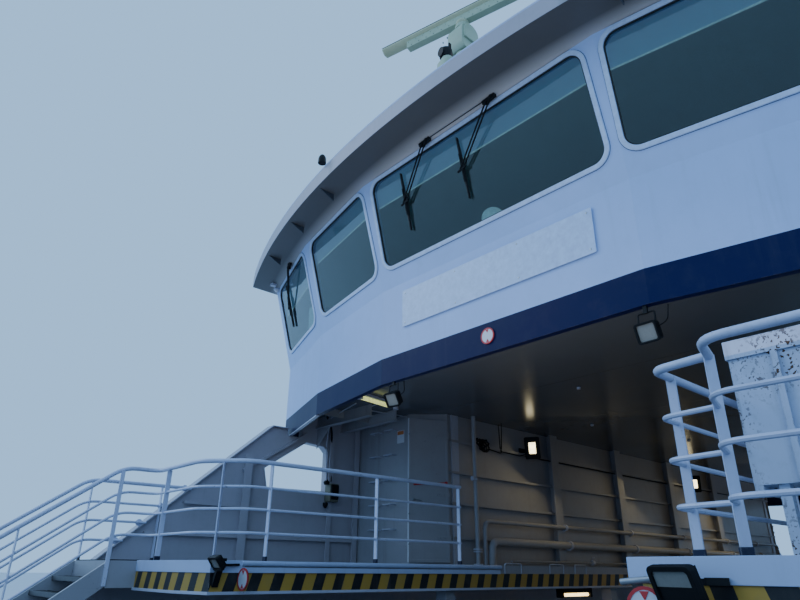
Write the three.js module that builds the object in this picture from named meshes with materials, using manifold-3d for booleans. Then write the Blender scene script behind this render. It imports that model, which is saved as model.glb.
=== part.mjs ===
// Double-ended car ferry, built at one half of its real size.
// Millimetres, +Z up, +X along the ship, +Y to port, origin under the middle of the flat bottom.
// Sizes are written as the real ship's metres inside m(), which turns them into model millimetres.
import * as THREE from 'three';
import { mergeVertices } from 'three/addons/utils/BufferGeometryUtils.js';
import Module from 'manifold-3d';

const wasm = await Module();
wasm.setup();

const MODEL_SCALE = 0.5;
const m = (realMetres) => realMetres * 1000 * MODEL_SCALE;
const SEAT_GAP = 0.3;

// Hull
const HALF_LENGTH = m(23.0);
const HALF_BEAM = m(6.0);
const DECK_Z = m(3.0);
const STRAKE_PROUD = m(0.12);

// Side walls
const WALL_THICK = m(0.13);
const WALL_INNER_Y = HALF_BEAM - WALL_THICK;
const BULWARK_TOP_Z = DECK_Z + m(1.1);
const SLANT_TOP_X = m(10.38);
const SLANT_TOP_Z = m(7.88);
const SLANT_RISE = 0.862;
const WALL_STRAIGHT_X = m(17.2);

// Platforms above the outer car lanes
const LANE_HEADROOM = m(2.2);
const PLATFORM_UNDER_Z = DECK_Z + LANE_HEADROOM;
const PLATFORM_Z = PLATFORM_UNDER_Z + m(0.32);
const PLATFORM_EDGE_Y = m(2.52);
const PLATFORM_END_X = m(13.04);
const STAIR_TOP_X = m(13.41);
const STAIR_INNER_Y = m(4.35);
const STAIR_SLOPE = 0.728;
const STAIR_FOOT_X = STAIR_TOP_X + (PLATFORM_Z - DECK_Z) / STAIR_SLOPE;
const RAIL_HEIGHTS = [m(1.12), m(0.81), m(0.55), m(0.28)];
const RAIL_INSET = m(0.12);

// Bridge house
const LIP_Z = m(7.78);
const KNUCKLE_Z = m(9.183);
const SOFFIT_Z = m(10.85);
const ROOF_Z = m(11.13);
const BRIDGE_DECK_UNDER_Z = m(8.2);
const BRIDGE_DECK_Z = m(8.4);
const HOUSE_WALL_THICK = m(0.085);
const FRONT_X = m(11.0);
const FRONT_LEAN = m(0.4187);
const SIDE_LEAN = m(0.14);
const SILL_Z = m(9.482);
const HEAD_Z = m(10.782);
// Facets of half a front, from the middle out: length along the facet, and its sweep back in degrees.
const FACETS = [
  { length: m(1.965), sweep: 0 },
  { length: m(2.184), sweep: 10.7 },
  { length: m(2.27), sweep: 19 },
];
const VISOR_RADIUS = m(16.3);
const VISOR_TIP_X = m(12.13);
const ROOF_HALF_WIDTH = m(6.5);

// Casings between the tunnel and the shell
const CASING_Y = m(3.82);
const CASING_END_X = m(8.3);
const CASING_CHAMFER = m(0.52);
const CASING_THICK = m(0.08);
const WEB_FRAME_X = [m(-4.6), m(-1.95), m(0.7), m(3.4)];
const WEB_FRAME = { depth: m(0.16), web: m(0.02), flange: m(0.26) };

const paint = (name, colour, roughness = 0.45, metalness = 0.0) => {
  const material = new THREE.MeshStandardMaterial({ color: colour, roughness, metalness });
  material.name = name;
  return material;
};
const PAINT = {
  hullNavy: paint('hull_navy', 0x14245a),
  white: paint('white_paint', 0xdfe5ee),
  wall: paint('grey_blue_paint', 0xb7c2d2),
  rail: paint('rail_paint', 0xd6dde6),
  glass: paint('tinted_glass', 0x2f5a58, 0.08),
  machinery: paint('dark_machinery', 0x2b2e33, 0.5, 0.4),
  bronze: paint('bronze', 0x9a7340, 0.35, 0.9),
  scanner: paint('scanner_green', 0xb9cfa8, 0.5),
};

// Solids and booleans

function toManifold(geometry) {
  const bare = geometry.clone();
  bare.deleteAttribute('normal');
  bare.deleteAttribute('uv');
  const merged = mergeVertices(bare, 1e-3);
  const solid = new wasm.Manifold(new wasm.Mesh({
    numProp: 3,
    vertProperties: new Float32Array(merged.attributes.position.array),
    triVerts: new Uint32Array(merged.index.array),
  }));
  if (solid.volume() >= 0) return solid;
  return toManifold(turnedInsideOut(merged));
}

function turnedInsideOut(geometry) {
  const flipped = geometry.clone();
  const index = flipped.index.array;
  for (let i = 0; i < index.length; i += 3) {
    [index[i + 1], index[i + 2]] = [index[i + 2], index[i + 1]];
  }
  return flipped;
}

function toGeometry(solid) {
  const mesh = solid.getMesh();
  const geometry = new THREE.BufferGeometry();
  geometry.setAttribute('position', new THREE.BufferAttribute(new Float32Array(mesh.vertProperties), 3));
  geometry.setIndex(new THREE.BufferAttribute(new Uint32Array(mesh.triVerts), 1));
  return geometry;
}

const joined = (pieces) => pieces.map(toManifold).reduce((whole, piece) => whole.add(piece));
const cut = (solid, tools) => tools.reduce((rest, tool) => rest.subtract(toManifold(tool)), solid);

function box(x, y, z) {
  const geometry = new THREE.BoxGeometry(x[1] - x[0], y[1] - y[0], z[1] - z[0]);
  return geometry.translate((x[0] + x[1]) / 2, (y[0] + y[1]) / 2, (z[0] + z[1]) / 2);
}

function outline(points) {
  return new THREE.Shape(points.map(([u, v]) => new THREE.Vector2(u, v)));
}

function plate(shape, from, to) {
  const settings = { depth: to - from, bevelEnabled: false, curveSegments: 2 };
  return new THREE.ExtrudeGeometry(shape, settings).translate(0, 0, from);
}

// An outline in X and Z, given thickness along Y.
function uprightPlate(shape, fromY, toY) {
  return plate(shape, -toY, -fromY).rotateX(Math.PI / 2);
}

function roundedRectangle(u0, u1, v0, v1, radius) {
  const shape = new THREE.Shape();
  shape.moveTo(u0 + radius, v0);
  shape.lineTo(u1 - radius, v0);
  shape.absarc(u1 - radius, v0 + radius, radius, -Math.PI / 2, 0);
  shape.absarc(u1 - radius, v1 - radius, radius, 0, Math.PI / 2);
  shape.absarc(u0 + radius, v1 - radius, radius, Math.PI / 2, Math.PI);
  shape.absarc(u0 + radius, v0 + radius, radius, Math.PI, Math.PI * 1.5);
  return shape;
}

function upright(radius, x, y, z, sides = 12, topRadius = radius) {
  const geometry = new THREE.CylinderGeometry(topRadius, radius, z[1] - z[0], sides).rotateX(Math.PI / 2);
  return geometry.translate(x, y, (z[0] + z[1]) / 2);
}

// A pipe that follows straight runs with rounded bends, one ring of sides at each station.
class PipeRun extends THREE.Curve {
  constructor(corners, bend) {
    super();
    this.stations = [corners[0]];
    for (let i = 1; i < corners.length - 1; i += 1) {
      const [before, corner, after] = [corners[i - 1], corners[i], corners[i + 1]];
      if (bend === 0) {
        this.stations.push(corner);
        continue;
      }
      const reach = Math.min(bend, corner.distanceTo(before) * 0.4, corner.distanceTo(after) * 0.4);
      const start = corner.clone().lerp(before, reach / corner.distanceTo(before));
      const end = corner.clone().lerp(after, reach / corner.distanceTo(after));
      this.stations.push(...new THREE.QuadraticBezierCurve3(start, corner, end).getPoints(2));
    }
    this.stations.push(corners[corners.length - 1]);
  }

  get steps() {
    return this.stations.length - 1;
  }

  getPointAt(u) {
    return this.stations[Math.round(u * this.steps)].clone();
  }

  getTangentAt(u) {
    const i = Math.round(u * this.steps);
    const before = this.stations[Math.max(i - 1, 0)];
    const after = this.stations[Math.min(i + 1, this.steps)];
    return after.clone().sub(before).normalize();
  }
}

function pipe(corners, radius, sides, bend) {
  const run = new PipeRun(corners.map((corner) => new THREE.Vector3(...corner)), bend);
  const ring = [];
  for (let i = 0; i < sides; i += 1) {
    const angle = ((i + 0.5) / sides) * Math.PI * 2;
    ring.push([Math.cos(angle) * radius, Math.sin(angle) * radius]);
  }
  const settings = { steps: run.steps, extrudePath: run, bevelEnabled: false };
  return new THREE.ExtrudeGeometry(outline(ring), settings);
}

// A wall that runs along a chain of plan points. Each level gives its height and the outer and
// inner plan points at that height. The ends are closed flat.
function chainWall(levels) {
  const count = levels[0].outer.length;
  const positions = [];
  for (const level of levels) {
    for (const [x, y] of level.outer) positions.push(x, y, level.z);
    for (const [x, y] of level.inner) positions.push(x, y, level.z);
  }
  const outer = (level, i) => level * count * 2 + i;
  const inner = (level, i) => level * count * 2 + count + i;
  const index = [];
  const quad = (a, b, c, d) => index.push(a, b, c, a, c, d);
  const last = levels.length - 1;
  for (let i = 0; i < count - 1; i += 1) {
    for (let level = 0; level < last; level += 1) {
      quad(outer(level, i), outer(level, i + 1), outer(level + 1, i + 1), outer(level + 1, i));
      quad(inner(level, i + 1), inner(level, i), inner(level + 1, i), inner(level + 1, i + 1));
    }
    quad(inner(0, i), inner(0, i + 1), outer(0, i + 1), outer(0, i));
    quad(outer(last, i), outer(last, i + 1), inner(last, i + 1), inner(last, i));
  }
  for (let level = 0; level < last; level += 1) {
    quad(inner(level, 0), outer(level, 0), outer(level + 1, 0), inner(level + 1, 0));
    const end = count - 1;
    quad(outer(level, end), inner(level, end), inner(level + 1, end), outer(level + 1, end));
  }
  const geometry = new THREE.BufferGeometry();
  geometry.setAttribute('position', new THREE.Float32BufferAttribute(positions, 3));
  geometry.setIndex(index);
  return geometry;
}

// The same geometry in another quarter of the ship: end is +1 forward or -1 aft, side is +1 to port
// or -1 to starboard.
function inQuarter(geometry, end, side) {
  const placed = mergeVertices(geometry.clone().deleteAttribute('normal').deleteAttribute('uv'), 1e-3);
  placed.scale(end, side, 1);
  return end * side < 0 ? turnedInsideOut(placed) : placed;
}

// House plan

// Moves each side of a plan polygon outwards by its own distance and meets the new sides again.
function offsetPlan(points, distances) {
  const count = points.length;
  const sides = points.map(([x0, y0], i) => {
    const [x1, y1] = points[(i + 1) % count];
    const length = Math.hypot(x1 - x0, y1 - y0);
    const normal = [(y1 - y0) / length, -(x1 - x0) / length];
    return { normal, reach: normal[0] * x0 + normal[1] * y0 + distances[i] };
  });
  return points.map((_, i) => {
    const a = sides[(i + count - 1) % count];
    const b = sides[i];
    const cross = a.normal[0] * b.normal[1] - a.normal[1] * b.normal[0];
    return [
      (a.reach * b.normal[1] - b.reach * a.normal[1]) / cross,
      (a.normal[0] * b.reach - b.normal[0] * a.reach) / cross,
    ];
  });
}

// Half a front's corners in the forward port quarter: half the middle facet, then each swept facet.
function frontCorners() {
  const corners = [];
  let [x, y] = [FRONT_X, 0];
  for (const { length, sweep } of FACETS) {
    x -= length * Math.sin(THREE.MathUtils.degToRad(sweep));
    y += length * Math.cos(THREE.MathUtils.degToRad(sweep));
    corners.push([x, y]);
  }
  return corners;
}

const FRONT_CORNERS = frontCorners();
const HOUSE_HALF_WIDTH = FRONT_CORNERS[2][1];
const HOUSE_HALF_LENGTH = FRONT_CORNERS[2][0];

// The whole plan, anticlockwise from the forward front's starboard end.
function housePlan() {
  const port = FRONT_CORNERS;
  const starboard = port.map(([x, y]) => [x, -y]).reverse();
  const forward = [...starboard, ...port];
  const aft = forward.map(([x, y]) => [-x, -y]);
  return [...forward, ...aft];
}

const HOUSE_PLAN = housePlan();
const FRONT_SIDES = 5;
const isLongSide = (i) => i % 6 === FRONT_SIDES;
const planAt = (frontShift, sideShift) => offsetPlan(
  HOUSE_PLAN,
  HOUSE_PLAN.map((_, i) => (isLongSide(i) ? sideShift : frontShift)),
);

// How far the wall has leaned out at a height, as a share of its lean under the roof.
const leanAt = (z) => Math.max(0, (z - KNUCKLE_Z) / (SOFFIT_Z - KNUCKLE_Z));

function wallLevels(first, count, outset, thickness, heights) {
  const pick = (plan) => Array.from({ length: count }, (_, i) => plan[(first + i) % plan.length]);
  return heights.map((z) => {
    const front = FRONT_LEAN * leanAt(z) + outset;
    const flank = SIDE_LEAN * leanAt(z) + outset;
    const innerPlan = planAt(front - thickness, flank - thickness);
    return { z, outer: pick(planAt(front, flank)), inner: pick(innerPlan) };
  });
}

// Pulls the two ends of a chain back along its own end sides, so that neighbours keep a seam.
function withSeams(levels, seam) {
  const pulled = (end, next) => {
    const [dx, dy] = [next[0] - end[0], next[1] - end[1]];
    const share = seam / Math.hypot(dx, dy);
    return [end[0] + dx * share, end[1] + dy * share];
  };
  const trimmed = (row) => {
    const last = row.length - 1;
    return [pulled(row[0], row[1]), ...row.slice(1, last), pulled(row[last], row[last - 1])];
  };
  return levels.map(({ z, outer, inner }) => ({ z, outer: trimmed(outer), inner: trimmed(inner) }));
}

// Windows along each side of the plan: start and end along the side at the sill.
const WINDOW_CORNER = m(0.16);
const FRONT_WINDOWS = [
  { from: m(0.24), to: m(2.135) },
  { from: m(0.2), to: m(2.13) },
  { from: m(0.156), to: m(3.774) },
  { from: m(0.05), to: m(1.984) },
  { from: m(0.135), to: m(2.03) },
];
const SALOON_WINDOW_COUNT = 8;
const SALOON_WINDOW_LENGTH = m(1.7);

// A cutter through the wall on one side of the plan, square to the leaning face.
function windowCutter(sideIndex, from, to) {
  const plan = planAt(0, 0);
  const [x0, y0] = plan[sideIndex];
  const [x1, y1] = plan[(sideIndex + 1) % plan.length];
  const along = Math.atan2(y1 - y0, x1 - x0);
  const lean = Math.atan2(isLongSide(sideIndex) ? SIDE_LEAN : FRONT_LEAN, SOFFIT_Z - KNUCKLE_Z);
  const slant = Math.cos(lean);
  const low = (SILL_Z - KNUCKLE_Z) / slant;
  const high = (HEAD_Z - KNUCKLE_Z) / slant;
  const shape = roundedRectangle(from, to, low, high, WINDOW_CORNER);
  const reach = HOUSE_WALL_THICK * 3;
  const cutter = plate(shape, -reach, reach).rotateX(Math.PI / 2 + lean).rotateZ(along);
  return cutter.translate(x0, y0, KNUCKLE_Z);
}

const group = new THREE.Group();

function add(name, geometry, material) {
  const mesh = new THREE.Mesh(geometry, material.clone());
  mesh.name = name;
  group.add(mesh);
  return mesh;
}

const ENDS = [{ end: 1, endName: 'fore' }, { end: -1, endName: 'aft' }];
const SIDES = [{ side: 1, sideName: 'port' }, { side: -1, sideName: 'starboard' }];
const QUARTERS = ENDS.flatMap((e) => SIDES.map(
  (s) => ({ ...e, ...s, suffix: `${e.endName}_${s.sideName}` }),
));

// Hull: flat bottom, ends cut up above the thrusters, a rubbing strake under the deck edge.
// Stations from amidships out: place along the ship, bottom height, half breadth of bottom and side.
const HULL_STATIONS = [
  { x: m(14.5), bottom: m(0), bottomY: m(5.5), sideY: HALF_BEAM },
  { x: m(17.3), bottom: m(1.56), bottomY: m(5.3), sideY: HALF_BEAM },
  { x: m(20.6), bottom: m(1.6), bottomY: m(4.7), sideY: m(5.45) },
  { x: HALF_LENGTH, bottom: m(2.0), bottomY: m(3.9), sideY: m(4.6) },
];

function hullSection({ x, bottom, bottomY, sideY }, end) {
  const bilgeZ = bottom + m(0.4);
  const half = [
    [bottomY, bottom], [sideY, bilgeZ], [sideY, m(2.55)], [sideY + STRAKE_PROUD, m(2.62)],
    [sideY + STRAKE_PROUD, m(2.86)], [sideY, m(2.93)], [sideY, DECK_Z],
  ];
  const port = half.map(([y, z]) => [x * end, y, z]);
  const starboard = half.map(([y, z]) => [x * end, -y, z]).reverse();
  return [...port, ...starboard];
}

function hullGeometry() {
  const sections = [
    ...[...HULL_STATIONS].reverse().map((station) => hullSection(station, -1)),
    ...HULL_STATIONS.map((station) => hullSection(station, 1)),
  ];
  const ring = sections[0].length;
  const index = [];
  for (let s = 0; s < sections.length - 1; s += 1) {
    for (let i = 0; i < ring; i += 1) {
      const [a, b] = [s * ring + i, s * ring + ((i + 1) % ring)];
      index.push(a, b, b + ring, a, b + ring, a + ring);
    }
  }
  const endOutline = sections[0].map(([, y, z]) => new THREE.Vector2(y, z));
  const cap = THREE.ShapeUtils.triangulateShape(endOutline, []);
  const lastRing = (sections.length - 1) * ring;
  for (const [a, b, c] of cap) index.push(a, c, b, lastRing + a, lastRing + b, lastRing + c);
  const geometry = new THREE.BufferGeometry();
  geometry.setAttribute('position', new THREE.Float32BufferAttribute(sections.flat(2), 3));
  geometry.setIndex(index);
  return geometry;
}

// Lugs that carry the ramp hinges, and flat bosses that carry the thrusters.
const RAMP_HALF_WIDTH = m(3.2);
const RAMP_HINGE = [HALF_LENGTH + m(0.16), DECK_Z - m(0.02)];
const THRUSTER_X = m(18.9);
const THRUSTER_SEAT_Z = m(1.52);

function hullFittings(end) {
  const lug = box(
    [HALF_LENGTH - m(0.1), RAMP_HINGE[0] + m(0.13)],
    [RAMP_HALF_WIDTH, RAMP_HALF_WIDTH + m(0.22)],
    [m(2.75), m(3.12)],
  );
  const boss = upright(m(0.5), THRUSTER_X, 0, [THRUSTER_SEAT_Z, m(1.8)]);
  return [...SIDES.map(({ side }) => inQuarter(lug, end, side)), inQuarter(boss, end, 1)];
}

const hull = joined([hullGeometry(), ...hullFittings(1), ...hullFittings(-1)]);
add('hull', toGeometry(hull), PAINT.hullNavy);

// Side walls: a bulwark that climbs to the bridge house at both ends, with a slanted-sided opening
// at the top of each climb and vents along the car deck.
const SIDE_VENTS = [m(-6.75), m(-2.25), m(2.25), m(6.75)];
const SIDE_VENT_HALF = m(1.1);
const SIDE_VENT_Z = [DECK_Z + m(0.95), DECK_Z + m(1.68)];
const slantX = (z) => SLANT_TOP_X + (SLANT_TOP_Z - z) / SLANT_RISE;

function sideWallShape() {
  const underLip = LIP_Z - m(0.01);
  const half = [
    [WALL_STRAIGHT_X, DECK_Z + SEAT_GAP], [WALL_STRAIGHT_X, BULWARK_TOP_Z],
    [slantX(BULWARK_TOP_Z), BULWARK_TOP_Z], [SLANT_TOP_X, SLANT_TOP_Z], [m(10.03), SLANT_TOP_Z],
    [m(10.03), underLip], [m(9.7), underLip], [m(9.7), BRIDGE_DECK_UNDER_Z - SEAT_GAP],
  ];
  return outline([...half, ...half.map(([x, z]) => [-x, z]).reverse()]);
}

// Corners of the opening beside the stair head.
const GANGWAY_LIGHT = [
  [m(10.39), m(6.79)], [m(10.47), m(7.12)], [m(9.6), m(7.69)],
  [m(9.2), m(7.66)], [m(9.09), m(7.56)], [m(9.09), m(6.81)],
];

// The end bulwark follows the deck edge in to the ramp.
const END_BULWARK_OUTER = [
  [WALL_STRAIGHT_X - m(0.2), HALF_BEAM], [m(17.3), HALF_BEAM], [m(20.6), m(5.44)],
  [HALF_LENGTH - m(0.1), m(4.6)], [HALF_LENGTH - m(0.1), m(3.45)],
];
const END_BULWARK_INNER = [
  [WALL_STRAIGHT_X - m(0.2), WALL_INNER_Y], [m(17.28), WALL_INNER_Y], [m(20.5), m(5.32)],
  [HALF_LENGTH - m(0.23), m(4.52)], [HALF_LENGTH - m(0.23), m(3.45)],
];

function endBulwark() {
  return chainWall([DECK_Z + SEAT_GAP, BULWARK_TOP_Z].map(
    (z) => ({ z, outer: END_BULWARK_OUTER, inner: END_BULWARK_INNER }),
  ));
}

function sideWall(side) {
  const wall = joined([
    uprightPlate(sideWallShape(), WALL_INNER_Y, HALF_BEAM),
    endBulwark(),
    inQuarter(endBulwark(), -1, 1),
  ]);
  const cutters = ENDS.map(({ end }) => inQuarter(
    uprightPlate(outline(GANGWAY_LIGHT), WALL_INNER_Y - m(0.2), HALF_BEAM + m(0.2)),
    end,
    1,
  ));
  for (const x of SIDE_VENTS) {
    const vent = roundedRectangle(x - SIDE_VENT_HALF, x + SIDE_VENT_HALF, ...SIDE_VENT_Z, m(0.2));
    cutters.push(uprightPlate(vent, WALL_INNER_Y - m(0.2), HALF_BEAM + m(0.2)));
  }
  return inQuarter(toGeometry(cut(wall, cutters)), 1, side);
}

for (const { side, sideName } of SIDES) add(`side_wall_${sideName}`, sideWall(side), PAINT.white);

// Platforms over the outer lanes, on pillars, with the stair heads cut in beside the shell.
const PILLAR_X = [m(-9.0), m(-4.5), m(0), m(4.5), m(9.0)];
const PILLAR_HALF = m(0.1);
const PLATFORM_CORNER = [[m(12.92), PLATFORM_EDGE_Y], [PLATFORM_END_X, m(3.16)]];

function platform(side) {
  const shellY = WALL_INNER_Y - SEAT_GAP;
  const half = [
    ...PLATFORM_CORNER, [PLATFORM_END_X, STAIR_INNER_Y], [STAIR_TOP_X, STAIR_INNER_Y], [STAIR_TOP_X, shellY],
  ];
  const plan = outline([...half, ...half.map(([x, y]) => [-x, y]).reverse()]);
  const pillars = PILLAR_X.map((x) => box(
    [x - PILLAR_HALF, x + PILLAR_HALF],
    [PLATFORM_EDGE_Y + m(0.13), PLATFORM_EDGE_Y + m(0.13) + PILLAR_HALF * 2],
    [DECK_Z + SEAT_GAP, PLATFORM_UNDER_Z + m(0.05)],
  ));
  const deck = joined([plate(plan, PLATFORM_UNDER_Z, PLATFORM_Z), ...pillars]);
  return inQuarter(toGeometry(deck), 1, side);
}

for (const { side, sideName } of SIDES) add(`platform_${sideName}`, platform(side), PAINT.wall);

// Casings: walled rooms over the platforms with a door in each chamfered corner.
const DOOR_WIDTH = m(0.78);
const DOORWAY = { from: m(0.06), to: m(0.66), low: PLATFORM_Z + m(0.12), high: m(7.95) };
const CHAMFER_START = [CASING_END_X - CASING_CHAMFER, CASING_Y];
const CHAMFER_TURN = Math.PI / 4;

// Puts a piece drawn along +X, outside towards -Y, onto the forward port chamfer.
const ontoChamfer = (geometry) => geometry.rotateZ(CHAMFER_TURN).translate(...CHAMFER_START, 0);

// Upright T bars that stiffen the tunnel side of a casing.
function webFrame(x) {
  const { depth, web, flange } = WEB_FRAME;
  const height = [PLATFORM_Z + SEAT_GAP, BRIDGE_DECK_UNDER_Z - SEAT_GAP];
  return [
    box([x - web / 2, x + web / 2], [CASING_Y - depth, CASING_Y + CASING_THICK / 2], height),
    box([x - flange / 2, x + flange / 2], [CASING_Y - depth - web, CASING_Y - depth + web / 2], height),
  ];
}

function casing(side) {
  const shellY = WALL_INNER_Y - SEAT_GAP;
  const t = CASING_THICK;
  const turnY = CASING_Y + CASING_CHAMFER;
  const outerHalf = [[...CHAMFER_START], [CASING_END_X, turnY], [CASING_END_X, shellY]];
  const shift = t * Math.tan(Math.PI / 8);
  const innerHalf = [
    [CHAMFER_START[0] - shift, CASING_Y + t], [CASING_END_X - t, turnY + shift], [CASING_END_X - t, shellY],
  ];
  const chain = (half) => [...half.map(([x, y]) => [-x, y]).reverse(), ...half];
  const walls = toManifold(chainWall([PLATFORM_Z + SEAT_GAP, BRIDGE_DECK_UNDER_Z - SEAT_GAP].map(
    (z) => ({ z, outer: chain(outerHalf), inner: chain(innerHalf) }),
  )));
  const doorways = ENDS.map(({ end }) => inQuarter(
    ontoChamfer(box([DOORWAY.from, DOORWAY.to], [-m(0.2), m(0.2)], [DOORWAY.low, DOORWAY.high])),
    end,
    1,
  ));
  const frames = WEB_FRAME_X.flatMap((x) => webFrame(x * side)).map(toManifold);
  const stiffened = frames.reduce((whole, frame) => whole.add(frame), walls);
  return inQuarter(toGeometry(cut(stiffened, doorways)), 1, side);
}

for (const { side, sideName } of SIDES) add(`casing_${sideName}`, casing(side), PAINT.wall);

// Casing doors, hinged at the tunnel side; the aft port one stands ajar.
const DOOR_THICK = m(0.05);
const DOOR_CLEAR = m(0.012);
const AJAR_DEGREES = { aft_port: 22 };

const DOOR_AXIS_OUT = DOOR_CLEAR + DOOR_THICK / 2;
const KNUCKLE_HEIGHTS = [m(5.9), m(6.8), m(7.7)];

for (const { end, side, suffix } of QUARTERS) {
  const leaf = toGeometry(joined([
    box([m(0), DOOR_WIDTH], [-DOOR_THICK / 2, DOOR_THICK / 2], [PLATFORM_Z + m(0.04), m(8.05)]),
    ...KNUCKLE_HEIGHTS.map((z) => upright(DOOR_AXIS_OUT - SEAT_GAP, 0, 0, [z, z + m(0.12)], 12)),
  ]));
  leaf.rotateZ(-THREE.MathUtils.degToRad(AJAR_DEGREES[suffix] ?? 0)).translate(0, -DOOR_AXIS_OUT, 0);
  add(`casing_door_${suffix}`, inQuarter(ontoChamfer(leaf), end, side), PAINT.wall);
}

// Stairs down from the platforms to the car deck, against the shell.
const STAIR_TREADS = 13;
const STRINGER_THICK = m(0.06);
const STRINGER_DEPTH = m(0.3);

function stair() {
  const [inner, outer] = [STAIR_INNER_Y + SEAT_GAP, WALL_INNER_Y - m(0.03)];
  const rise = PLATFORM_Z - DECK_Z;
  const top = STAIR_TOP_X + SEAT_GAP;
  const foot = DECK_Z + SEAT_GAP;
  const side = outline([
    [top, PLATFORM_Z], [top, PLATFORM_Z - STRINGER_DEPTH],
    [STAIR_FOOT_X - STRINGER_DEPTH / STAIR_SLOPE, foot], [STAIR_FOOT_X, foot],
  ]);
  const pieces = [
    uprightPlate(side, inner, inner + STRINGER_THICK),
    uprightPlate(side, outer - STRINGER_THICK, outer),
  ];
  for (let i = 1; i <= STAIR_TREADS; i += 1) {
    const z = PLATFORM_Z - (rise * i) / (STAIR_TREADS + 1);
    const x = STAIR_TOP_X + (PLATFORM_Z - z) / STAIR_SLOPE;
    const tread = box(
      [x - m(0.24), x],
      [inner + STRINGER_THICK / 2, outer - STRINGER_THICK / 2],
      [z - m(0.07), z - m(0.03)],
    );
    pieces.push(tread);
  }
  return toGeometry(joined(pieces));
}

for (const { end, side, suffix } of QUARTERS) {
  add(`stair_${suffix}`, inQuarter(stair(), end, side), PAINT.wall);
}

// Mooring bollards: two capped posts on one base plate, in each corner of the car deck.
const BOLLARD = { x: m(20.3), y: m(4.75), apart: m(0.55), radius: m(0.11), topZ: DECK_Z + m(0.46) };

function bollards() {
  const { x, y, apart, radius, topZ } = BOLLARD;
  const base = box([x - apart, x + apart], [y - m(0.2), y + m(0.2)], [DECK_Z + SEAT_GAP, DECK_Z + m(0.04)]);
  const posts = [x - apart / 2, x + apart / 2].flatMap((postX) => [
    upright(radius, postX, y, [DECK_Z + m(0.02), topZ]),
    upright(radius + m(0.04), postX, y, [topZ - m(0.03), topZ + m(0.02)]),
  ]);
  return toGeometry(joined([base, ...posts]));
}

for (const { end, side, suffix } of QUARTERS) {
  add(`bollards_${suffix}`, inQuarter(bollards(), end, side), PAINT.machinery);
}

// Railings: bars at four heights along one path, on posts.
const POST_RADIUS = m(0.03);
const BAR_RADIUS = m(0.02);
const stairFall = (x) => Math.max(0, x - STAIR_TOP_X) * STAIR_SLOPE;

function railing(path, posts, barStarts) {
  const pieces = RAIL_HEIGHTS.map((height, row) => {
    const start = barStarts ? [barStarts[row], ...path.slice(1)] : path;
    const corners = start.map(([x, y]) => [x, y, PLATFORM_Z + height - stairFall(x)]);
    return row === 0 ? pipe(corners, POST_RADIUS, 6, m(0.15)) : pipe(corners, BAR_RADIUS, 4, 0);
  });
  for (const [x, y] of posts) {
    const low = PLATFORM_Z - stairFall(x - POST_RADIUS) + SEAT_GAP;
    pieces.push(upright(POST_RADIUS, x, y, [low, PLATFORM_Z + RAIL_HEIGHTS[0] - stairFall(x)], 5));
  }
  return toGeometry(joined(pieces));
}

const EDGE_RAIL_Y = PLATFORM_EDGE_Y + RAIL_INSET;
const END_RAIL_X = PLATFORM_END_X - m(0.1);
const STAIR_RAIL_Y = STAIR_INNER_Y + m(0.03);
const RAIL_FOOT_X = STAIR_FOOT_X - m(0.1);
const EDGE_RAIL_PATH = [
  [m(8.74), EDGE_RAIL_Y], [m(12.49), EDGE_RAIL_Y], [END_RAIL_X, m(3.12)],
  [END_RAIL_X, STAIR_RAIL_Y], [STAIR_TOP_X, STAIR_RAIL_Y], [RAIL_FOOT_X, STAIR_RAIL_Y],
];
const STAIR_POST_X = [m(14.5), m(15.6), m(16.7)];

// The corner posts stand a little apart on the quarters with a locker.
const CORNER_POSTS = [[m(12.19), EDGE_RAIL_Y], [m(12.76), m(2.93)]];
const LOCKER_CORNER_POSTS = [[m(12.4), EDGE_RAIL_Y], [m(12.86), m(3.04)]];
const edgeRailPosts = (cornerPosts) => [
  [m(8.79), EDGE_RAIL_Y], [m(10.47), EDGE_RAIL_Y], ...cornerPosts,
  [END_RAIL_X, m(3.7)], [STAIR_TOP_X - m(0.05), STAIR_RAIL_Y],
  ...STAIR_POST_X.map((x) => [x, STAIR_RAIL_Y]),
];
const SHELL_RAIL_Y = WALL_INNER_Y - m(0.06);
const SHELL_RAIL_PATH = [[m(11.79), SHELL_RAIL_Y], [STAIR_TOP_X, SHELL_RAIL_Y], [RAIL_FOOT_X, SHELL_RAIL_Y]];
const SHELL_RAIL_POSTS = [
  [m(12.3), SHELL_RAIL_Y], [STAIR_TOP_X - m(0.05), SHELL_RAIL_Y],
  ...STAIR_POST_X.map((x) => [x, SHELL_RAIL_Y]),
];

for (const { end, side, suffix } of QUARTERS) {
  const edgeRail = railing(EDGE_RAIL_PATH, edgeRailPosts(end === side ? LOCKER_CORNER_POSTS : CORNER_POSTS));
  const shellRail = railing(SHELL_RAIL_PATH, SHELL_RAIL_POSTS, RAIL_HEIGHTS.map((height) => [
    slantX(PLATFORM_Z + height), SHELL_RAIL_Y,
  ]));
  add(`platform_rail_${suffix}`, inQuarter(edgeRail, end, side), PAINT.rail);
  add(`stair_rail_${suffix}`, inQuarter(shellRail, end, side), PAINT.rail);
}

// Lockers on legs behind the platform rail, at opposite corners of the ship.
const LOCKER = { x: [m(11.0), m(11.57)], y: [m(2.75), m(3.7)], z: [m(6.0), m(7.03)] };

function locker() {
  const legSpan = (edge, inward, inset) => [edge + inward * inset, edge + inward * (inset + m(0.07))]
    .sort((a, b) => a - b);
  const legHeight = [PLATFORM_Z + SEAT_GAP, LOCKER.z[0] + m(0.02)];
  const legs = [0, 1].flatMap((i) => [0, 1].map((j) => box(
    legSpan(LOCKER.x[i], i ? -1 : 1, m(0.03)),
    legSpan(LOCKER.y[j], j ? -1 : 1, m(0.14)),
    legHeight,
  )));
  return toGeometry(joined([box(LOCKER.x, LOCKER.y, LOCKER.z), ...legs]));
}

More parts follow.
